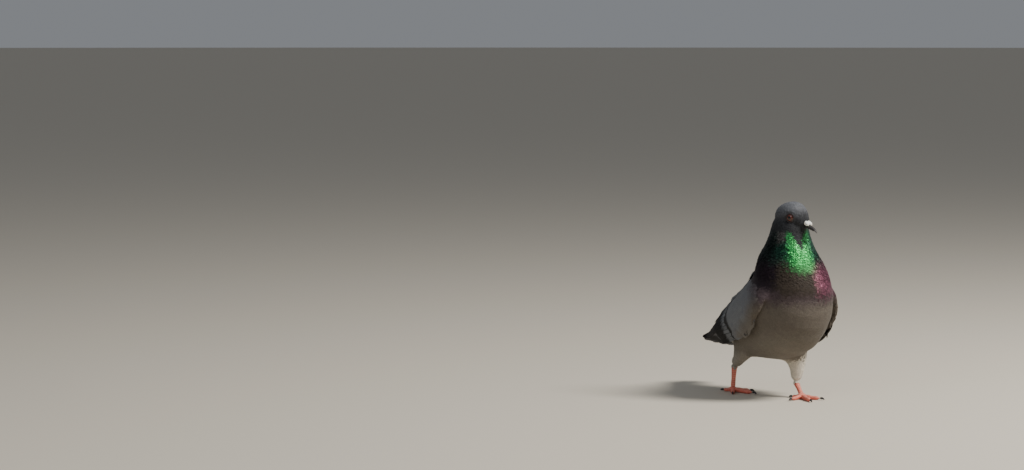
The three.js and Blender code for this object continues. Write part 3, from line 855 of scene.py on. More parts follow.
def wingSheet(side):
    tree = BVHTree.FromPolygons(*(a.tolist() for a in nodeArrays(wingNodes[side])))
    sign = 1 if side == "left" else -1
    return Sheet((0, -1, 0), (0, 0, 1), (sign, 0, 0), (-128, 42), (104, 58), 2.0, tree)


def backSheet():
    # the back seen from above, with the furrow between the wings filled
    sheet = Sheet((1, 0, 0), (0, -1, 0), (0, 0, 1), (-60, -130), (61, 96), 2.0, form.tree)
    for _ in range(40):
        sheet.heights = np.where(sheet.isKnown, np.maximum(sheet.heights, sheet.blurred()),
                                 sheet.heights)
    sheet.fill()
    return sheet


def wingShare(points):
    # 0 along the wing's bottom, 1 along its top
    ahead, high = aheadOf(points), points[..., 2]
    low, top = np.interp(ahead, *wingLow.T), np.interp(ahead, *wingTop.T)
    return np.clip((high - low) / np.maximum(top - low, 1), 0, 1)


# The left wing hangs a little open: how much lower its bottom is, over [ahead].
leftSag = [[-116, -92, -58, -20, 12, 38, 55, 65], [0, 1.5, 4.5, 8.3, 11.3, 11.7, 7.8, 0]]


def sagOf(points):
    return np.interp(aheadOf(points), *leftSag) * (1 - wingShare(points)) ** 2


def raised(points):
    # the left wing's places as they would be if it hung like the right one
    lifted = points.copy()
    for _ in range(4):
        lifted[..., 2] = points[..., 2] + np.where(outOf(points) > 0, sagOf(lifted), 0)
    return lifted


def wingLie(points):
    low, top = (np.interp(aheadOf(points), wingAngles["ahead"], wingAngles[k])
                for k in ("low", "top"))
    angle = np.radians(low + (top - low) * wingShare(points))
    return sideBySide(0, np.cos(angle), -np.sin(angle))


flightRows = [0, 0.1, 0.22, 0.34, 0.46, 0.56, 0.64, 0.71, 0.77, 0.83, 0.89, 0.94, 0.98, 1]
flightStyle = {
    "rows": flightRows,
    "outline": [0, 0.5, 0.75, 0.9, 0.97, 1, 1, 1, 1, 0.98, 0.91, 0.76, 0.46, 0],
    "columns": 7, "thick": 0.35, "camber": 0.04, "yaw": 0.012, "roll": 0.008, "lift": 0.03,
    "spread": 0.012, "climb": 1, "curl": 0,
}
primaryStyle = {
    **flightStyle, "outline": [0, 0.6, 0.85, 1, 1, 1, 0.98, 0.95, 0.9, 0.82, 0.7, 0.54, 0.3, 0],
}
covertStyle = {
    **flightStyle, "thick": 0.24, "camber": 0.05, "yaw": 0.06, "roll": 0.02, "lift": 0.06,
    "spread": 0.05,
}
lesserStyle = {
    **bodyStyle, "camber": 0.04, "yaw": 0.08, "roll": 0.02, "lift": 0.05, "spread": 0.08,
    "climb": 0.4,
}

# Each row of the wing from the bottom up: the line its tips lie on, then for its first and
# last feather the length, width, and height over the sheet at the root and at the tip.
# Feathers that are black behind a line have it as dark, with how far the black goes.
greaterTips = [[9, 60], [-1, 68.5], [-9.6, 74.5], [-18, 81], [-26.5, 88.3], [-33, 97], [-40, 106]]
firstBar = [[0, 58], *greaterTips[1:]]
secondBar = [[-16, 60], [-22, 67], [-26, 74], [-34, 80], [-42, 86], [-48, 93], [-58, 104]]
wingRows = [
    {"name": "primaries", "tips": [[-115, 57], [-107, 60], [-97, 64], [-87, 69], [-79, 74]],
     "count": 7, "length": (64, 48), "width": (10.5, 12), "low": (-2.0, -1.2),
     "high": (-1.9, -0.9), "style": primaryStyle, "hue": "flight"},
    {"name": "secondaries", "tips": [[-37, 58], [-56, 70], [-75, 82]], "count": 9,
     "length": (54, 56), "width": (12, 13), "low": (-0.8, -0.7), "high": (-0.5, -0.3),
     "style": flightStyle, "hue": "wing", "dark": (secondBar, 0, 90)},
    {"name": "tertials", "tips": [[-82, 78], [-76, 87], [-63, 96], [-47, 106]], "count": 7,
     "length": (52, 40), "width": (14, 15), "low": (-0.2, 0.1), "high": (0, 0.3),
     "style": flightStyle, "hue": "wing", "dark": (secondBar, 0, 90)},
    {"name": "primaryCoverts", "tips": [[-24, 58.5], [-14, 60], [-4, 61]], "count": 4,
     "length": (26, 20), "width": (8, 8), "low": (-0.5, -0.4), "high": (-0.3, -0.2),
     "style": covertStyle, "hue": "wing"},
    {"name": "greater", "tips": greaterTips, "count": 15, "length": (30, 38),
     "width": (9, 12), "low": (-0.3, -0.2), "high": (0.25, 0.35), "style": covertStyle,
     "hue": "wing", "dark": (firstBar, 7, 90)},
    {"name": "median", "tips": [[27, 69], [9, 83], [-10, 102], [-24, 118]], "count": 14,
     "length": (20, 27), "width": (9, 11.5), "low": (-0.1, -0.1), "high": (0.45, 0.5),
     "style": covertStyle, "hue": "wing"},
    {"name": "lesser", "tips": [[39, 78], [22, 93], [5, 111], [-8, 128]], "count": 15,
     "length": (16, 22), "width": (8, 10), "low": (0, 0), "high": (0.6, 0.6),
     "style": covertStyle, "hue": "wing"},
]
flightNames = ("primaries", "secondaries", "tertials", "primaryCoverts")
# the wing's front edge, which the body's feathers overlap
wingFront = [[30, 70], [38, 77], [55, 95], [65, 115], [56, 132], [40, 143]]
# The small coverts ahead of the rows: in front of a line that slants back with height, or near
# the wing's front edge, or along its low edge. They lie on the finer form below a height.
smallCoverts = {
    "spacing": 2.3, "length": 11, "width": 6.4, "low": -1.2, "high": 0.4, "facing": -0.3,
    "ahead": 50, "from": 73, "slant": 0.9, "behindFront": (-20, -6), "openBelow": 86,
    "edgeShare": 0.25, "edgeAhead": 12, "closeBelow": 92, "least": 0.6, "shrink": (66, 40),
}
# where the corner of each flat sheet's unwrap lies, and how far it spans
unwraps = {"wing": ((-130, 40), (220, 120)), "back": ((-60, -130), (125, 200))}


def onUnwrap(sheet, flat):
    start, span = unwraps[sheet]
    return (flat - np.array(start)) / span


def alongLine(line, count):
    line = np.array(line, float)
    run = np.concatenate([[0], np.cumsum(np.linalg.norm(np.diff(line, axis=0), axis=1))])
    want = np.linspace(0, run[-1], count)
    return np.stack([np.interp(want, run, line[:, i]) for i in range(2)], axis=1)


def gapAhead(places, line):
    # how far places lie ahead of a line on the wing, told as [ahead, high] from the bottom up
    q = np.stack([aheadOf(places), places[..., 2]], axis=-1)
    best, gap = np.full(q.shape[:-1], 1e9), np.zeros(q.shape[:-1])
    for start, end in zip(np.array(line[:-1], float), np.array(line[1:], float)):
        span = end - start
        t = np.clip(((q - start) * span).sum(-1) / (span ** 2).sum(), 0, 1)
        off = q - start - t[..., None] * span
        far = np.linalg.norm(off, axis=-1)
        side = np.sign(off[..., 0] * span[1] - off[..., 1] * span[0])
        gap = np.where(far < best, far * side, gap)
        best = np.minimum(best, far)
    return gap


rowTints = {
    "flight": 0.5, "wing": 0.4,  # how much single feathers differ
    "soft": 0.8, "farSoft": 1, "stray": 0.5,  # the edges of the black
    "top": (0.97, 0.86),  # the black ends short of the wing's top
    "bodied": 0.85, "bodiedGap": (-22, -4),
}


def rowPaint(row, points, rng):
    tints = rowTints
    count = len(points)
    share = rng.random((count, 1)) + 0 * points[..., 0]
    if row["hue"] == "flight":
        colour = mixed("flight", "black", tints["flight"] * share)
    else:
        colour = bodied(mixed("wing", "wingEdge", tints["wing"] * share), points)
    if "dark" in row:
        line, start, reach = row["dark"]
        gap = gapAhead(points, line) + rng.normal(0, tints["stray"], (count, 1))
        end, soft, farSoft = start - reach, tints["soft"], tints["farSoft"]
        dark = ramp(gap, start + soft, start - soft) * ramp(gap, end - farSoft, end + farSoft)
        colour = mixed(colour, "black", dark * ramp(wingShare(points), *tints["top"]))
    return matt(colour)


def bodied(colour, points):
    # the wing's colour passes into the body's towards its front edge
    flat = points.reshape(-1, 3)
    around = bodyPaint(flat, 0 * flat, 0 * flat[:, :2])[:, :3].reshape(points.shape)
    share = ramp(gapAhead(points, wingFront), *rowTints["bodiedGap"])
    return mixed(colour, around, rowTints["bodied"] * share)


def rootOf(tips, length):
    # walks forward from the tips against the lie, staying off the wing's lower edge
    place, steps = tips.copy(), 8
    for _ in range(steps):
        way = wingLie(placed(np.insert(place, 0, 0, axis=1)))
        new = place + sideBySide(way[:, 1], -way[:, 2]) * (length / steps)[:, None]
        isInside = new[:, 1] > np.interp(new[:, 0], *wingLow.T) + 0.5
        place = np.where(isInside[:, None], new, place)
    return place


def onWing(sheet, side, flat):
    if side == "left":
        flat = flat - sideBySide(0, sagOf(placed(np.insert(flat, 0, 0, axis=1))))
    return sheet.at(flat)


def addSmallCoverts(coat, side, sign, rng):
    small = smallCoverts
    chosen = openFaces(plump, wingNodes[side][:1])
    corners = plump.faces[chosen]
    isOuter = plump.normals[corners].mean(axis=1)[:, 0] * sign > small["facing"]
    middle = raised(plump.points[corners].mean(axis=1))
    ahead, high, gap = aheadOf(middle), middle[:, 2], gapAhead(middle, wingFront)
    isFront = ahead > small["ahead"] - (high - small["from"]) * small["slant"]
    isFront |= gap > small["behindFront"][0]
    isFront |= (wingShare(middle) < small["edgeShare"]) & (ahead > small["edgeAhead"])
    isFront &= (gap < small["behindFront"][1]) | (high < small["openBelow"])
    roots = scattered(plump, chosen[isOuter & isFront], small["spacing"], rng)
    roots = roots[np.argsort(roots[:, 2])]
    scale = between((small["least"], 1), ramp(aheadOf(roots), *small["shrink"]))
    sizes = sideBySide(small["length"] * scale, small["width"] * scale, small["low"], small["high"])
    split = int((roots[:, 2] < small["closeBelow"]).sum())
    shape = np.concatenate([
        layFeathers(bed, roots[mine], wingLie(roots[mine]), sizes[mine], lesserStyle, rng, wingLie)
        for bed, mine in ((form, slice(split)), (plump, slice(split, None)))])
    tint = bodied(mixed("wing", "mantle", rng.random(len(roots))), raised(roots))
    cells = onUnwrap("wing", sideBySide(aheadOf(roots), roots[:, 2]))
    coat.add(shape, lesserStyle, matt(tint), cells, rng)


wingLay = {"stray": 0.7, "tilt": 0.045, "cell": 0.02}  # how the rows' feathers lie


def wingFeathers(side, looks):
    rng = np.random.default_rng(31 if side == "left" else 32)
    sheet, sign = wingSheet(side), 1 if side == "left" else -1
    covers, flights = Coat(f"wingCoverts_{side}"), Coat(f"wingFlight_{side}")
    for row in wingRows:
        count = row["count"]
        length, width, low, high = (between(row[k], np.linspace(0, 1, count))
                                    for k in ("length", "width", "low", "high"))
        tips = alongLine(row["tips"], count) + rng.normal(0, wingLay["stray"], (count, 2))
        start = rootOf(tips, length)
        roots = onWing(sheet, side, start)
        span = onWing(sheet, side, tips) - roots
        sizes = sideBySide(np.linalg.norm(span, axis=1), width, low, high)
        style = {**row["style"], "tilt": -wingLay["tilt"] * sign}
        shape = layFeathers(sheet, roots, unit(span), sizes, style, rng)
        coat = flights if row["name"] in flightNames else covers
        paint = rowPaint(row, raised(shape), rng)
        coat.add(shape, style, paint, onUnwrap("wing", start), rng, wingLay["cell"])
    addSmallCoverts(covers, side, sign, rng)
    covers.make(looks["wing feathers"], "wing_plumage")
    flights.make(looks["flight feathers"], "flight_plumage", [wingNodes[side][2]])
    print("wing", side)


# Quincunx fields seen from above: over [ahead], from how far out they start and how far they
# reach, then the spacing, and the feathers' length, width and heights over the sheet.
backFields = [
    {"name": "back", "ahead": [30, 0, -35, -74], "out": [0, 0, 0, 0], "reach": [26, 22, 7, 5],
     "spacing": 4.4, "length": (13, 19), "width": (9, 10), "low": -1.2, "high": 0.2},
    {"name": "scapulars", "ahead": [40, 20, -10, -36], "out": [26, 15, 8, 5],
     "reach": [12, 17, 13, 7], "spacing": 5.2, "length": (15, 26), "width": (10, 13),
     "low": -0.6, "high": 1.2},
]
neckFoot = 144  # the back's feathers stay under this height
scapularTurn = [[-40, -35, -4, 24, 50], [0, 0.05, 0.35, 0.46, 0.46]]  # inward, over [ahead]
tailTurn = 0.25  # how far the tail swings to the left for each length back
backWay = {"width": 22, "tail": (-40, -75), "down": 0.5}  # how the back's feathers turn
backHues = {"rump": (-30, -42), "tail": (-50, -56)}  # where these set in, by how far ahead
backStray, backCell = 0.5, 0.01


def backLie(points):
    ahead = aheadOf(points)
    inward = np.interp(ahead, *scapularTurn) * np.clip(outOf(points) / backWay["width"], -1, 1)
    swing = tailTurn * ramp(ahead, *backWay["tail"])
    return unit(sideBySide(swing - inward, 1, -backWay["down"]))


def backFeathers(looks):
    rng = np.random.default_rng(61)
    sheet, coat = backSheet(), Coat("backCoat")
    for field in backFields:
        front, back, gap = field["ahead"][0], field["ahead"][-1], field["spacing"]
        isSplit = field["name"] == "scapulars"
        flat = []
        for index, ahead in enumerate(np.arange(front, back, -gap * 0.8)):
            start, reach = (np.interp(-ahead, -np.array(field["ahead"]), field[k])
                            for k in ("out", "reach"))
            outs = np.arange(0 if isSplit else -reach, reach, gap) + (index % 2) * gap / 2
            flat += [(side * (start + out), ahead, (front - ahead) / (front - back))
                     for side in ((1, -1) if isSplit else (1,)) for out in outs]
        flat = np.array(flat)
        flat[:, :2] += rng.normal(0, backStray, (len(flat), 2))
        flat = flat[sheet.at(flat[:, :2])[:, 2] < neckFoot]
        roots, ahead, t = sheet.at(flat[:, :2]), flat[:, 1], flat[:, 2]
        sizes = sideBySide(between(field["length"], t), between(field["width"], t),
                           field["low"], field["high"])
        shape = layFeathers(sheet, roots, backLie(roots), sizes, lesserStyle, rng, backLie)
        colour = mixed("mantle", "wing", rng.random(len(t)))
        if not isSplit:
            for hue, span in backHues.items():
                colour = mixed(colour, hue, ramp(ahead, *span))
        cells = onUnwrap("back", flat[:, :2])
        coat.add(shape, lesserStyle, matt(colour), cells, rng, backCell)
        print(field["name"], len(flat), "feathers")
    coat.make(looks, "wing_plumage")


tailShape = {
    "root": placed([[0, -50, 83]])[0], "tip": placed([[18, -124, 46]])[0], "roll": 13,
    "roof": 1.5, "halfWidth": 24.5, "count": 12, "width": 15, "rootHalf": 5,
    "shorter": 0.1, "inset": 0.42, "high": 1.1, "drop": 2.6,  # of the outermost feathers
    "bar": (0.78, 0.83), "paleEdge": (0.955, 0.985), "paler": 1.15, "cell": 0.025,
}


def tailSheet():
    # the middle plane of the tail, roofed a little
    shape = tailShape
    back = unit(shape["tip"] - shape["root"])
    level = unit(np.cross(back, [0, 0, 1.0]))
    level *= np.sign(level[0])
    up = np.cross(back, level)
    up *= np.sign(up[2])
    turn = radians(shape["roll"])
    side = level * cos(turn) - up * sin(turn)
    sheet = Sheet(side, back, up * cos(turn) + level * sin(turn), (-40, -20), (41, 71), 2.0)
    sheet.zero = shape["root"]
    out = sheet.start[0] + sheet.step * np.arange(41)
    sheet.heights = -shape["roof"] * (out[:, None] / shape["halfWidth"]) ** 2 + np.zeros((41, 71))
    sheet.slopes = np.gradient(sheet.heights, sheet.step)
    return sheet


def tailFeathers(looks):
    rng = np.random.default_rng(41)
    sheet, shape = tailSheet(), tailShape
    count = shape["count"]
    place = np.linspace(-1, 1, count)
    length = np.linalg.norm(shape["tip"] - shape["root"])
    length = length * (1 - shape["shorter"] * np.abs(place) ** 2.2)
    reach = shape["halfWidth"] - shape["width"] * shape["inset"]
    start = sheet.at(sideBySide(place * shape["rootHalf"], 0))
    end = sheet.at(sideBySide(place * reach, length))
    height = shape["high"] - shape["drop"] * np.abs(place)
    sizes = sideBySide(length, shape["width"], 0.6 * height, height)
    style = {**flightStyle, "tilt": 0, "yaw": 0.01}
    points = layFeathers(sheet, start, unit(end - start), sizes, style, rng)
    along = np.broadcast_to(vaneGrid(style)["along"], points.shape[:2])
    colour = mixed("tail", "tail band", ramp(along, *shape["bar"]),
                   hues["tail"] * shape["paler"], ramp(along, *shape["paleEdge"]))
    coat = Coat("tailFeathers")
    cells = sideBySide(0.1 + 0.03 * np.arange(count), 0.2)
    coat.add(points, style, matt(colour), cells, rng, shape["cell"])
    coat.make(looks, "flight_plumage", ["tail"])
    print("tail", count, "feathers")


thighCoat = {
    "spacing": 1.5, "length": 8, "width": 4, "low": -1.2, "high": 0.15, "room": 1.5,
    "shorter": 0.35, "narrower": 0.2,  # at the heel
    "leg": (0.9, 6),  # the shell under the cuff: voxel size and rounds of smoothing
    "cuff": 0.66, "cuffRise": 0.55,  # from here down they run on to the shank, lying higher
}


def thighFeathers(side, looks):
    rng, c = np.random.default_rng(51 if side == "left" else 52), thighCoat
    hip, heel = placed(thighs[side])
    roots = scattered(plump, openFaces(plump, [f"thigh_{side}"], c["room"]), c["spacing"], rng)
    rel, way = roots - hip, unit(heel - hip)
    share = rel @ way / np.linalg.norm(heel - hip)
    sizes = sideBySide(c["length"] * (1 - c["shorter"] * share),
                       c["width"] * (1 - c["narrower"] * share), c["low"], c["high"])
    cells = fitted(sideBySide(np.arctan2(rel[:, 0], rel[:, 1]) / (2 * pi) + 0.5, share))
    coat = Coat(f"thighCoat_{side}")
    leg = Surface(*closedOver([f"thigh_{side}", f"shank_{side}"], *c["leg"]))
    isCuff = share >= c["cuff"]
    sizes[isCuff, 2:] += c["cuffRise"]
    for bed, mine in ((plump, ~isCuff), (leg, isCuff)):
        ways = np.repeat(way[None], mine.sum(), axis=0)
        points = layFeathers(bed, roots[mine], ways, sizes[mine], thighStyle, rng)
        coat.add(points, thighStyle, thighPaint(roots[mine], side), cells[mine], rng)
    coat.make(looks, "body_plumage")
    print("thigh", side, len(roots), "feathers")


toeNames = ("hallux", "inner_toe", "middle_toe", "outer_toe")
footBalls = {"left": [16, 45, 4], "right": [-15, -44, 4]}
scutes = {
    "voxel": 0.42, "rounds": 3, "shank": 2.3, "toe": 1.7, "height": 0.2,
    "facing": (0.1, 0.5), "sharp": 0.55,  # the creases are on the front alone, and narrow
}


def footSkin(side, looks):
    # shank and toes in one skin, with a row of scutes down the front of each
    nodes = [f"shank_{side}"] + [f"{toe}_{side}" for toe in toeNames]
    points, faces = closedOver(nodes, scutes["voxel"], scutes["rounds"])
    normals = normalsOf(points, faces)
    ball, heel = placed([footBalls[side]])[0], placed([thighs[side][1]])[0]
    ends = [heel] + [nodeArrays([f"{toe}_claw_{side}"])[0].mean(axis=0) for toe in toeNames]
    far, crease = np.full(len(points), 1e9), np.zeros(len(points))
    for index, end in enumerate(ends):
        way = unit(end - ball)
        run = np.clip(((points - ball) * way).sum(axis=1), 0, np.linalg.norm(end - ball))
        gap = np.linalg.norm(points - ball - way * run[:, None], axis=1)
        if index:
            front, pitch = np.array([0, 0, 1.0]), scutes["toe"]
        else:
            front, pitch = unit(np.cross(np.cross(way, [0, -1.0, 0]), way)), scutes["shank"]
        facing = ramp((normals * front).sum(axis=1), *scutes["facing"])
        wave = 1 - np.abs(np.sin(pi * run / pitch)) ** scutes["sharp"]
        isNear = gap < far
        crease = np.where(isNear, facing * wave, crease)
        far = np.minimum(far, gap)
    points = points - normals * (scutes["height"] * crease)[:, None]
    points[:, 2] = np.maximum(points[:, 2], 0)
    mesh = meshFrom(f"footSkin_{side}", points, faces)
    layer = mesh.attributes.new("crease", "FLOAT", "POINT")
    layer.data.foreach_set("value", crease)
    print("foot", side, len(faces))
    showPiece(f"footSkin_{side}", mesh, looks, nodes)


hardVoxel = 0.25  # for the claws, the bill and the cere


def smoothCopy(name, nodes, rounds, looks):
    points, faces = closedOver(nodes, hardVoxel, rounds, True)
    mesh = meshFrom(name, points, faces)
    print(name, len(faces))
    showPiece(name, mesh, looks, nodes)


eyeShape = {
    "share": 0.985, "lid": 4.35, "lidWidth": 0.95, "lidHeight": 0.45, "lidSink": 0.35,
    "around": 64, "about": 10,  # the lid's faces round the eye and round its own section
}


def ballAround(work, centre, gaze, radius):
    turn = Vector(gaze).to_track_quat("Z", "Y").to_matrix().to_4x4()
    made = bmesh.ops.create_uvsphere(work, u_segments=56, v_segments=36, radius=radius * mm)
    bmesh.ops.transform(work, matrix=turn, verts=made["verts"])
    bmesh.ops.translate(work, vec=Vector(centre * mm), verts=made["verts"])


def eyeBall(side, looks):
    centre, radius = eyeBalls[side]
    mesh = bpy.data.meshes.new(f"eyeBall_{side}")
    work = bmesh.new()
    ballAround(work, centre, gazes[side], radius * eyeShape["share"])
    for face in work.faces:
        face.smooth = True
    work.to_mesh(mesh)
    work.free()
    points, _ = arraysOf(mesh, np.eye(4))
    off = unit(points - centre) @ gazes[side]
    layer = mesh.attributes.new("ring", "FLOAT", "POINT")
    layer.data.foreach_set("value", np.degrees(np.arccos(np.clip(off, -1, 1))))
    showPiece(f"eyeBall_{side}", mesh, looks, [f"eye_{side}"])


def eyeLid(side, looks):
    # a low, bare ring where the eyeball meets the head
    centre, gaze = eyeBalls[side][0], gazes[side]
    first = across(headUp[None], gaze[None])[0]
    second = np.cross(gaze, first)
    around, about = eyeShape["around"], eyeShape["about"]
    points = []
    for i in range(around):
        a = 2 * pi * i / around
        way = first * cos(a) + second * sin(a)
        start = centre + way * eyeShape["lid"] + gaze * 20
        hit = form.tree.ray_cast(Vector(start), Vector(-gaze))[0]
        foot = np.array(hit[:]) - gaze * eyeShape["lidSink"]
        for j in range(about):
            b = 2 * pi * j / about
            wide, tall = eyeShape["lidWidth"] * cos(b), eyeShape["lidHeight"] * sin(b)
            points.append(foot + way * wide + gaze * tall)
    faces = []
    for i in range(around):
        for j in range(about):
            a, b = i * about + j, i * about + (j + 1) % about
            c, d = (a + about) % len(points), (b + about) % len(points)
            faces += [(a, c, d), (a, d, b)]
    points, faces = np.array(points), np.array(faces)
    points = relaxed(points, faces, 3)
    showPiece(f"eyeLid_{side}", meshFrom(f"eyeLid_{side}", points, faces), looks)


def add(tree, kind, inputs=(), out=0, **settings):
    # A new node with its settings. Its inputs come in order, or by name or number, and each is
    # a value, a hex colour or another node's output.
    node = tree.nodes.new("ShaderNode" + kind)
    for name, value in settings.items():
        setattr(node, name, value)
    for key, value in inputs.items() if isinstance(inputs, dict) else enumerate(inputs):
        if isinstance(value, bpy.types.NodeSocket):
            tree.links.new(value, node.inputs[key])
        else:
            node.inputs[key].default_value = (
                (*linear(value), 1) if isinstance(value, str) else value)
    return node.outputs[out] if node.outputs else node


def blankLooks(name):
    looks = bpy.data.materials.new(name)
    looks.use_nodes = True
    looks.node_tree.nodes.clear()
    return looks, looks.node_tree


def surfaced(looks, inputs):
    # closes a material with its one surface
    tree = looks.node_tree
    add(tree, "OutputMaterial", [add(tree, "BsdfPrincipled", inputs)])
    return looks


def layered(tree, colour, *layers):
    # colours over one another, each with its share
    for share, over in layers:
        colour = add(tree, "Mix", {0: share, 6: colour, 7: over}, out=2, data_type="RGBA")
    return colour


def grains(count):
    # a pattern's scale, from how many of its grains lie along 10 mm
    return count / (10 * mm)


# Plumage: keratin vanes coloured in the feather. Barbs run out from the shaft to both edges.
plumageKinds = {
    "head feathers": {"barbs": 7, "barbDark": 0.25, "shaft": 0.0, "edge": 0.05, "tint": 0.14,
                      "rough": 0.6, "glossy": 0.38, "metal": 0.6, "sheen": 0.03, "bump": 0.25,
                      "shine": 0.2},
    "neck feathers": {"barbs": 8, "barbDark": 0.35, "shaft": 0.0, "edge": -0.3, "tint": 0.12,
                      "rough": 0.6, "glossy": 0.42, "metal": 0.7, "sheen": 0.0, "bump": 0.3,
                      "shine": 0.1},
    "body feathers": {"barbs": 12, "barbDark": 0.2, "shaft": 0.06, "edge": 0.02, "tint": 0.06,
                      "rough": 0.7, "glossy": 0.42, "metal": 0.7, "sheen": 0.05, "bump": 0.25,
                      "shine": 0.1},
    "wing feathers": {"barbs": 26, "barbDark": 0.18, "shaft": 0.07, "edge": 0.02, "tint": 0.04,
                      "rough": 0.66, "glossy": 0.5, "metal": 0, "sheen": 0.04, "bump": 0.3,
                      "shine": 0.12},
    "flight feathers": {"barbs": 60, "barbDark": 0.25, "shaft": 0.6, "edge": 0.2, "tint": 0.1,
                        "rough": 0.6, "glossy": 0.5, "metal": 0, "sheen": 0.0, "bump": 0.3,
                        "shine": 0.06},
}


def plumage(name):
    kind = plumageKinds[name]
    looks, tree = blankLooks(name)
    colour = add(tree, "Attribute", out="Color", attribute_name="paint")
    gloss = colour.node.outputs["Alpha"]
    tuft = add(tree, "Attribute", out="Fac", attribute_name="tuft")
    cross = add(tree, "SeparateXYZ", [add(tree, "UVMap", uv_map="vane")])
    along = cross.node.outputs[1]
    # 0 on the shaft, 1 on the edges
    off = add(tree, "Math", [cross, 0.5], operation="SUBTRACT")
    off = add(tree, "Math", [off], operation="ABSOLUTE")
    off = add(tree, "Math", [off, 2], operation="MULTIPLY")
    # specks of dust and wear, drawn coarse enough to show
    speck = add(tree, "TexNoise", {"Vector": add(tree, "TexCoord", out="Object"),
                                   "Scale": grains(9), "Detail": 3, "Roughness": 0.6})
    # barbs slant away from the shaft, drawn coarser than real ones so that they show
    slant = add(tree, "Math", [along, kind["barbs"]], operation="MULTIPLY")
    slant = add(tree, "Math", [off, -0.16 * kind["barbs"], slant], operation="MULTIPLY_ADD")
    wave = add(tree, "Math", [slant, 2 * pi], operation="MULTIPLY")
    wave = add(tree, "Math", [speck, 3, wave], operation="MULTIPLY_ADD")
    wave = add(tree, "Math", [wave], operation="SINE")
    barb = add(tree, "Math", [wave, 0.5, 0.5], operation="MULTIPLY_ADD")
    # tint of the whole feather, then of its barbs, shaft, edges and specks
    # glossy feathers differ far more in brightness from one to the next: painted glints for the
    # sparkle of their sheen
    spread = add(tree, "MapRange", [gloss, 0, 1, kind["tint"], kind["tint"] + 0.4])
    light = add(tree, "MapRange", [tuft, 0, 1, -1, 1])
    light = add(tree, "Math", [light, spread, 1], operation="MULTIPLY_ADD")
    for span in ((barb, 0, 1, 1 - kind["barbDark"], 1 + kind["barbDark"] * 0.5),
                 (off, 0.05, 0.12, 1 - kind["shaft"], 1), (off, 0.78, 1, 1, 1 + kind["edge"]),
                 (speck, 0.3, 0.7, 0.86, 1.12)):
        part = add(tree, "MapRange", span)
        light = add(tree, "Math", [light, part], operation="MULTIPLY")
    relief = add(tree, "Math", [speck, 0.6, barb], operation="MULTIPLY_ADD")
    return surfaced(looks, {
        "Base Color": add(tree, "VectorMath", {0: colour, "Scale": light}, operation="SCALE"),
        "Roughness": add(tree, "MapRange", [gloss, 0, 1, kind["rough"], kind["glossy"]]),
        "Metallic": add(tree, "Math", [gloss, kind["metal"]], operation="MULTIPLY",
                        use_clamp=True),
        "Normal": add(tree, "Bump", {"Strength": kind["bump"], "Distance": 0.15 * mm,
                                     "Height": relief}),
        "Sheen Weight": kind["sheen"], "Sheen Roughness": 0.5,
        "Specular IOR Level": kind["shine"],
    })


def bodySkin(name):
    # matt down over skin, darker than the coat above it
    looks, tree = blankLooks(name)
    colour = add(tree, "Attribute", out="Color", attribute_name="paint")
    speck = add(tree, "TexNoise", {"Vector": add(tree, "TexCoord", out="Object"),
                                   "Scale": grains(7), "Detail": 5, "Roughness": 0.7})
    light = add(tree, "MapRange", [speck, 0.3, 0.7, 0.45, 0.8])
    return surfaced(looks, {
        "Base Color": add(tree, "VectorMath", {0: colour, "Scale": light}, operation="SCALE"),
        "Normal": add(tree, "Bump", {"Strength": 0.6, "Distance": 0.5 * mm, "Height": speck}),
        "Roughness": 0.85, "Specular IOR Level": 0.2})


def scaledSkin(name):
    # coral-red scaled skin, powdery in the creases between the scutes
    looks, tree = blankLooks(name)
    place = add(tree, "TexCoord", out="Object")
    crease = add(tree, "Attribute", out="Fac", attribute_name="crease")
    grain = add(tree, "TexVoronoi", {"Vector": place, "Scale": grains(13)}, feature="F1")
    cloud = add(tree, "TexNoise", {"Vector": place, "Scale": grains(2.6), "Detail": 4})
    between = add(tree, "Math", [grain, 0.45], operation="MULTIPLY", use_clamp=True)
    powder = add(tree, "Math", [crease, 0.75], operation="MULTIPLY")
    colour = layered(tree, "#b8422f", (add(tree, "MapRange", [cloud, 0.35, 0.65]), "#da6d56"),
                     (between, "#dd9484"), (powder, "#e3b3a2"))
    relief = add(tree, "Math", [grain, -1.2, cloud], operation="MULTIPLY_ADD")
    return surfaced(looks, {
        "Base Color": colour, "Specular IOR Level": 0.4,
        "Roughness": add(tree, "MapRange", [cloud, 0, 1, 0.42, 0.6]),
        "Normal": add(tree, "Bump", {"Strength": 0.5, "Distance": 0.2 * mm, "Height": relief})})


def hornLooks(name, dark, pale, count, rough):
    # worn keratin, faintly clouded and dull
    looks, tree = blankLooks(name)
    cloud = add(tree, "TexNoise", {"Vector": add(tree, "TexCoord", out="Object"),
                                   "Scale": grains(count), "Detail": 5, "Distortion": 0.6})
    return surfaced(looks, {
        "Base Color": layered(tree, dark, (add(tree, "MapRange", [cloud, 0.35, 0.7]), pale)),
        "Roughness": add(tree, "MapRange", [cloud, 0, 1, rough, rough + 0.15]),
        "Normal": add(tree, "Bump", {"Strength": 0.25, "Distance": 0.15 * mm,
                                     "Height": cloud})})


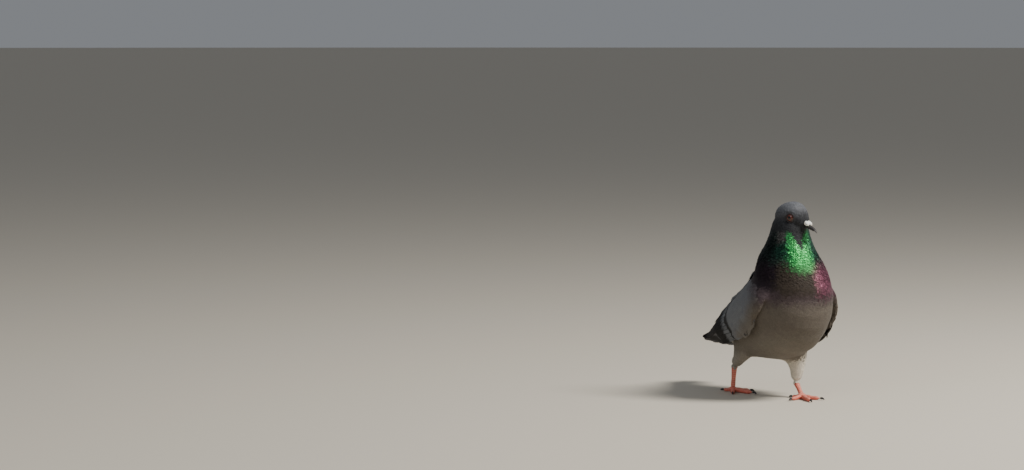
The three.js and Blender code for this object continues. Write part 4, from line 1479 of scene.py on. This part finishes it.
def chalkyCere(name):
    # bare white skin with a powdery bloom
    looks, tree = blankLooks(name)
    place = add(tree, "TexCoord", out="Object")
    cloud = add(tree, "TexNoise", {"Vector": place, "Scale": grains(5), "Detail": 6,
                                   "Roughness": 0.7})
    lump = add(tree, "TexVoronoi", {"Vector": place, "Scale": grains(9)}, feature="SMOOTH_F1")
    bloom = add(tree, "MapRange", [cloud, 0.3, 0.65])
    relief = add(tree, "Math", [lump, 0.8, cloud], operation="MULTIPLY_ADD")
    return surfaced(looks, {
        "Base Color": layered(tree, "#d6d1c7", (bloom, "#f8f6f0")),
        "Roughness": add(tree, "MapRange", [cloud, 0, 1, 0.7, 0.9]),
        "Normal": add(tree, "Bump", {"Strength": 0.5, "Distance": 0.3 * mm, "Height": relief}),
        "Subsurface Weight": 0.1, "Subsurface Radius": (2 * mm, 1 * mm, 0.8 * mm)})


def eyeLooks(name):
    # rings of colour by the angle off the gaze, under a clear, wet cornea; the iris is painted a
    # darker red-brown than its own orange-red, painted shade from the brow
    looks, tree = blankLooks(name)
    ring = add(tree, "Attribute", out="Fac", attribute_name="ring")
    fibre = add(tree, "TexNoise", {"Vector": add(tree, "TexCoord", out="Object"),
                                   "Scale": grains(15), "Detail": 4})
    stray = add(tree, "Math", [fibre, 0.5], operation="SUBTRACT")
    ring = add(tree, "Math", [stray, 5, ring], operation="MULTIPLY_ADD")
    iris, pupilEdge, rim = (add(tree, "MapRange", [ring, *span])
                            for span in ((20, 38), (20, 22), (41, 45)))
    colour = layered(tree, "#0a0807", (pupilEdge, layered(tree, "#642811", (iris, "#340d06"))),
                     (rim, "#140a08"))
    return surfaced(looks, {
        "Base Color": colour, "Roughness": 0.12, "Coat Weight": 0.6, "Coat Roughness": 0.03,
        "Specular IOR Level": 0.3})


plumes = {name: plumage(name) for name in plumageKinds}
print("plumage looks", len(plumes))
skinPiece(bodySkin("down and skin"))
bodyCoats({"headCoat": plumes["head feathers"], "neckCoat": plumes["neck feathers"],
           "breastCoat": plumes["body feathers"]})
backFeathers(plumes["wing feathers"])
tailFeathers(plumes["flight feathers"])
footLooks = scaledSkin("scaled foot skin")
billHorn = hornLooks("bill horn", "#151314", "#3b3635", 3, 0.5)
clawHorn = hornLooks("claw horn", "#151314", "#3a3433", 5, 0.5)
cereSkin = chalkyCere("chalky cere skin")
lidSkin = hornLooks("bare lid skin", "#1c1615", "#332b2a", 8, 0.7)
wetEye = eyeLooks("wet eye")
for side in ("left", "right"):
    wingFeathers(side, plumes)
    thighFeathers(side, plumes["body feathers"])
    footSkin(side, footLooks)
    claws = [f"{toe}_claw_{side}" for toe in toeNames]
    smoothCopy(f"claws_{side}", claws, 2, clawHorn)
    eyeBall(side, wetEye)
    eyeLid(side, lidSkin)
    print("eye", side)
smoothCopy("billUpper", ["bill_upper"], 4, billHorn)
smoothCopy("billLower", ["bill_lower"], 4, billHorn)
smoothCopy("cereSkin", ["cere"], 5, cereSkin)

view = {"lens": 102.48, "sensor": 36, "place": [-1860.1, 2654.6, 408], "down": 4.05, "turn": -30}
camera = bpy.data.objects.new("camera", bpy.data.cameras.new("camera"))
camera.data.lens, camera.data.sensor_width = view["lens"], view["sensor"]
camera.location = placed(view["place"])[0] * mm
camera.rotation_euler = (radians(90 - view["down"]), 0, radians(view["turn"]))
bpy.context.scene.collection.objects.link(camera)
bpy.context.scene.camera = camera


def floorPiece():
    mesh = bpy.data.meshes.new("floor")
    work = bmesh.new()
    bmesh.ops.create_circle(work, cap_ends=True, segments=96, radius=60)
    work.to_mesh(mesh)
    work.free()
    # matt emulsion, pale and plain
    looks = blankLooks("floor paint")[0]
    mesh.materials.append(surfaced(looks, {"Base Color": "#c9c1b2", "Roughness": 0.8}))
    floor = bpy.data.objects.new("floor", mesh)
    bpy.context.scene.collection.objects.link(floor)
    return floor


def lamp(name, azimuth, elevation, distance, size, power, colour):
    data = bpy.data.lights.new(name, "AREA")
    data.shape, data.size, data.energy, data.color = "DISK", size, power, colour
    obj = bpy.data.objects.new(name, data)
    a, e = radians(azimuth), radians(elevation)
    way = Vector((sin(a) * cos(e), -cos(a) * cos(e), sin(e)))
    obj.location = way * distance + Vector((0, 0, 0.1))
    obj.rotation_euler = way.to_track_quat("Z", "Y").to_euler()
    bpy.context.scene.collection.objects.link(obj)
    return obj


stageThings = [
    floorPiece(),
    lamp("key", 35, 48, 2.4, 0.9, 90, (1, 0.97, 0.92)),
    lamp("fill", -60, 30, 2.6, 1.8, 12, (0.92, 0.96, 1)),
]
print("stage", len(stageThings), "things")
world = bpy.data.worlds.new("studio")
bpy.context.scene.world = world
world.use_nodes = True
world.node_tree.nodes.clear()
background = add(world.node_tree, "Background", {"Color": (0.8, 0.84, 0.9, 1), "Strength": 0.27})
add(world.node_tree, "OutputWorld", [background])
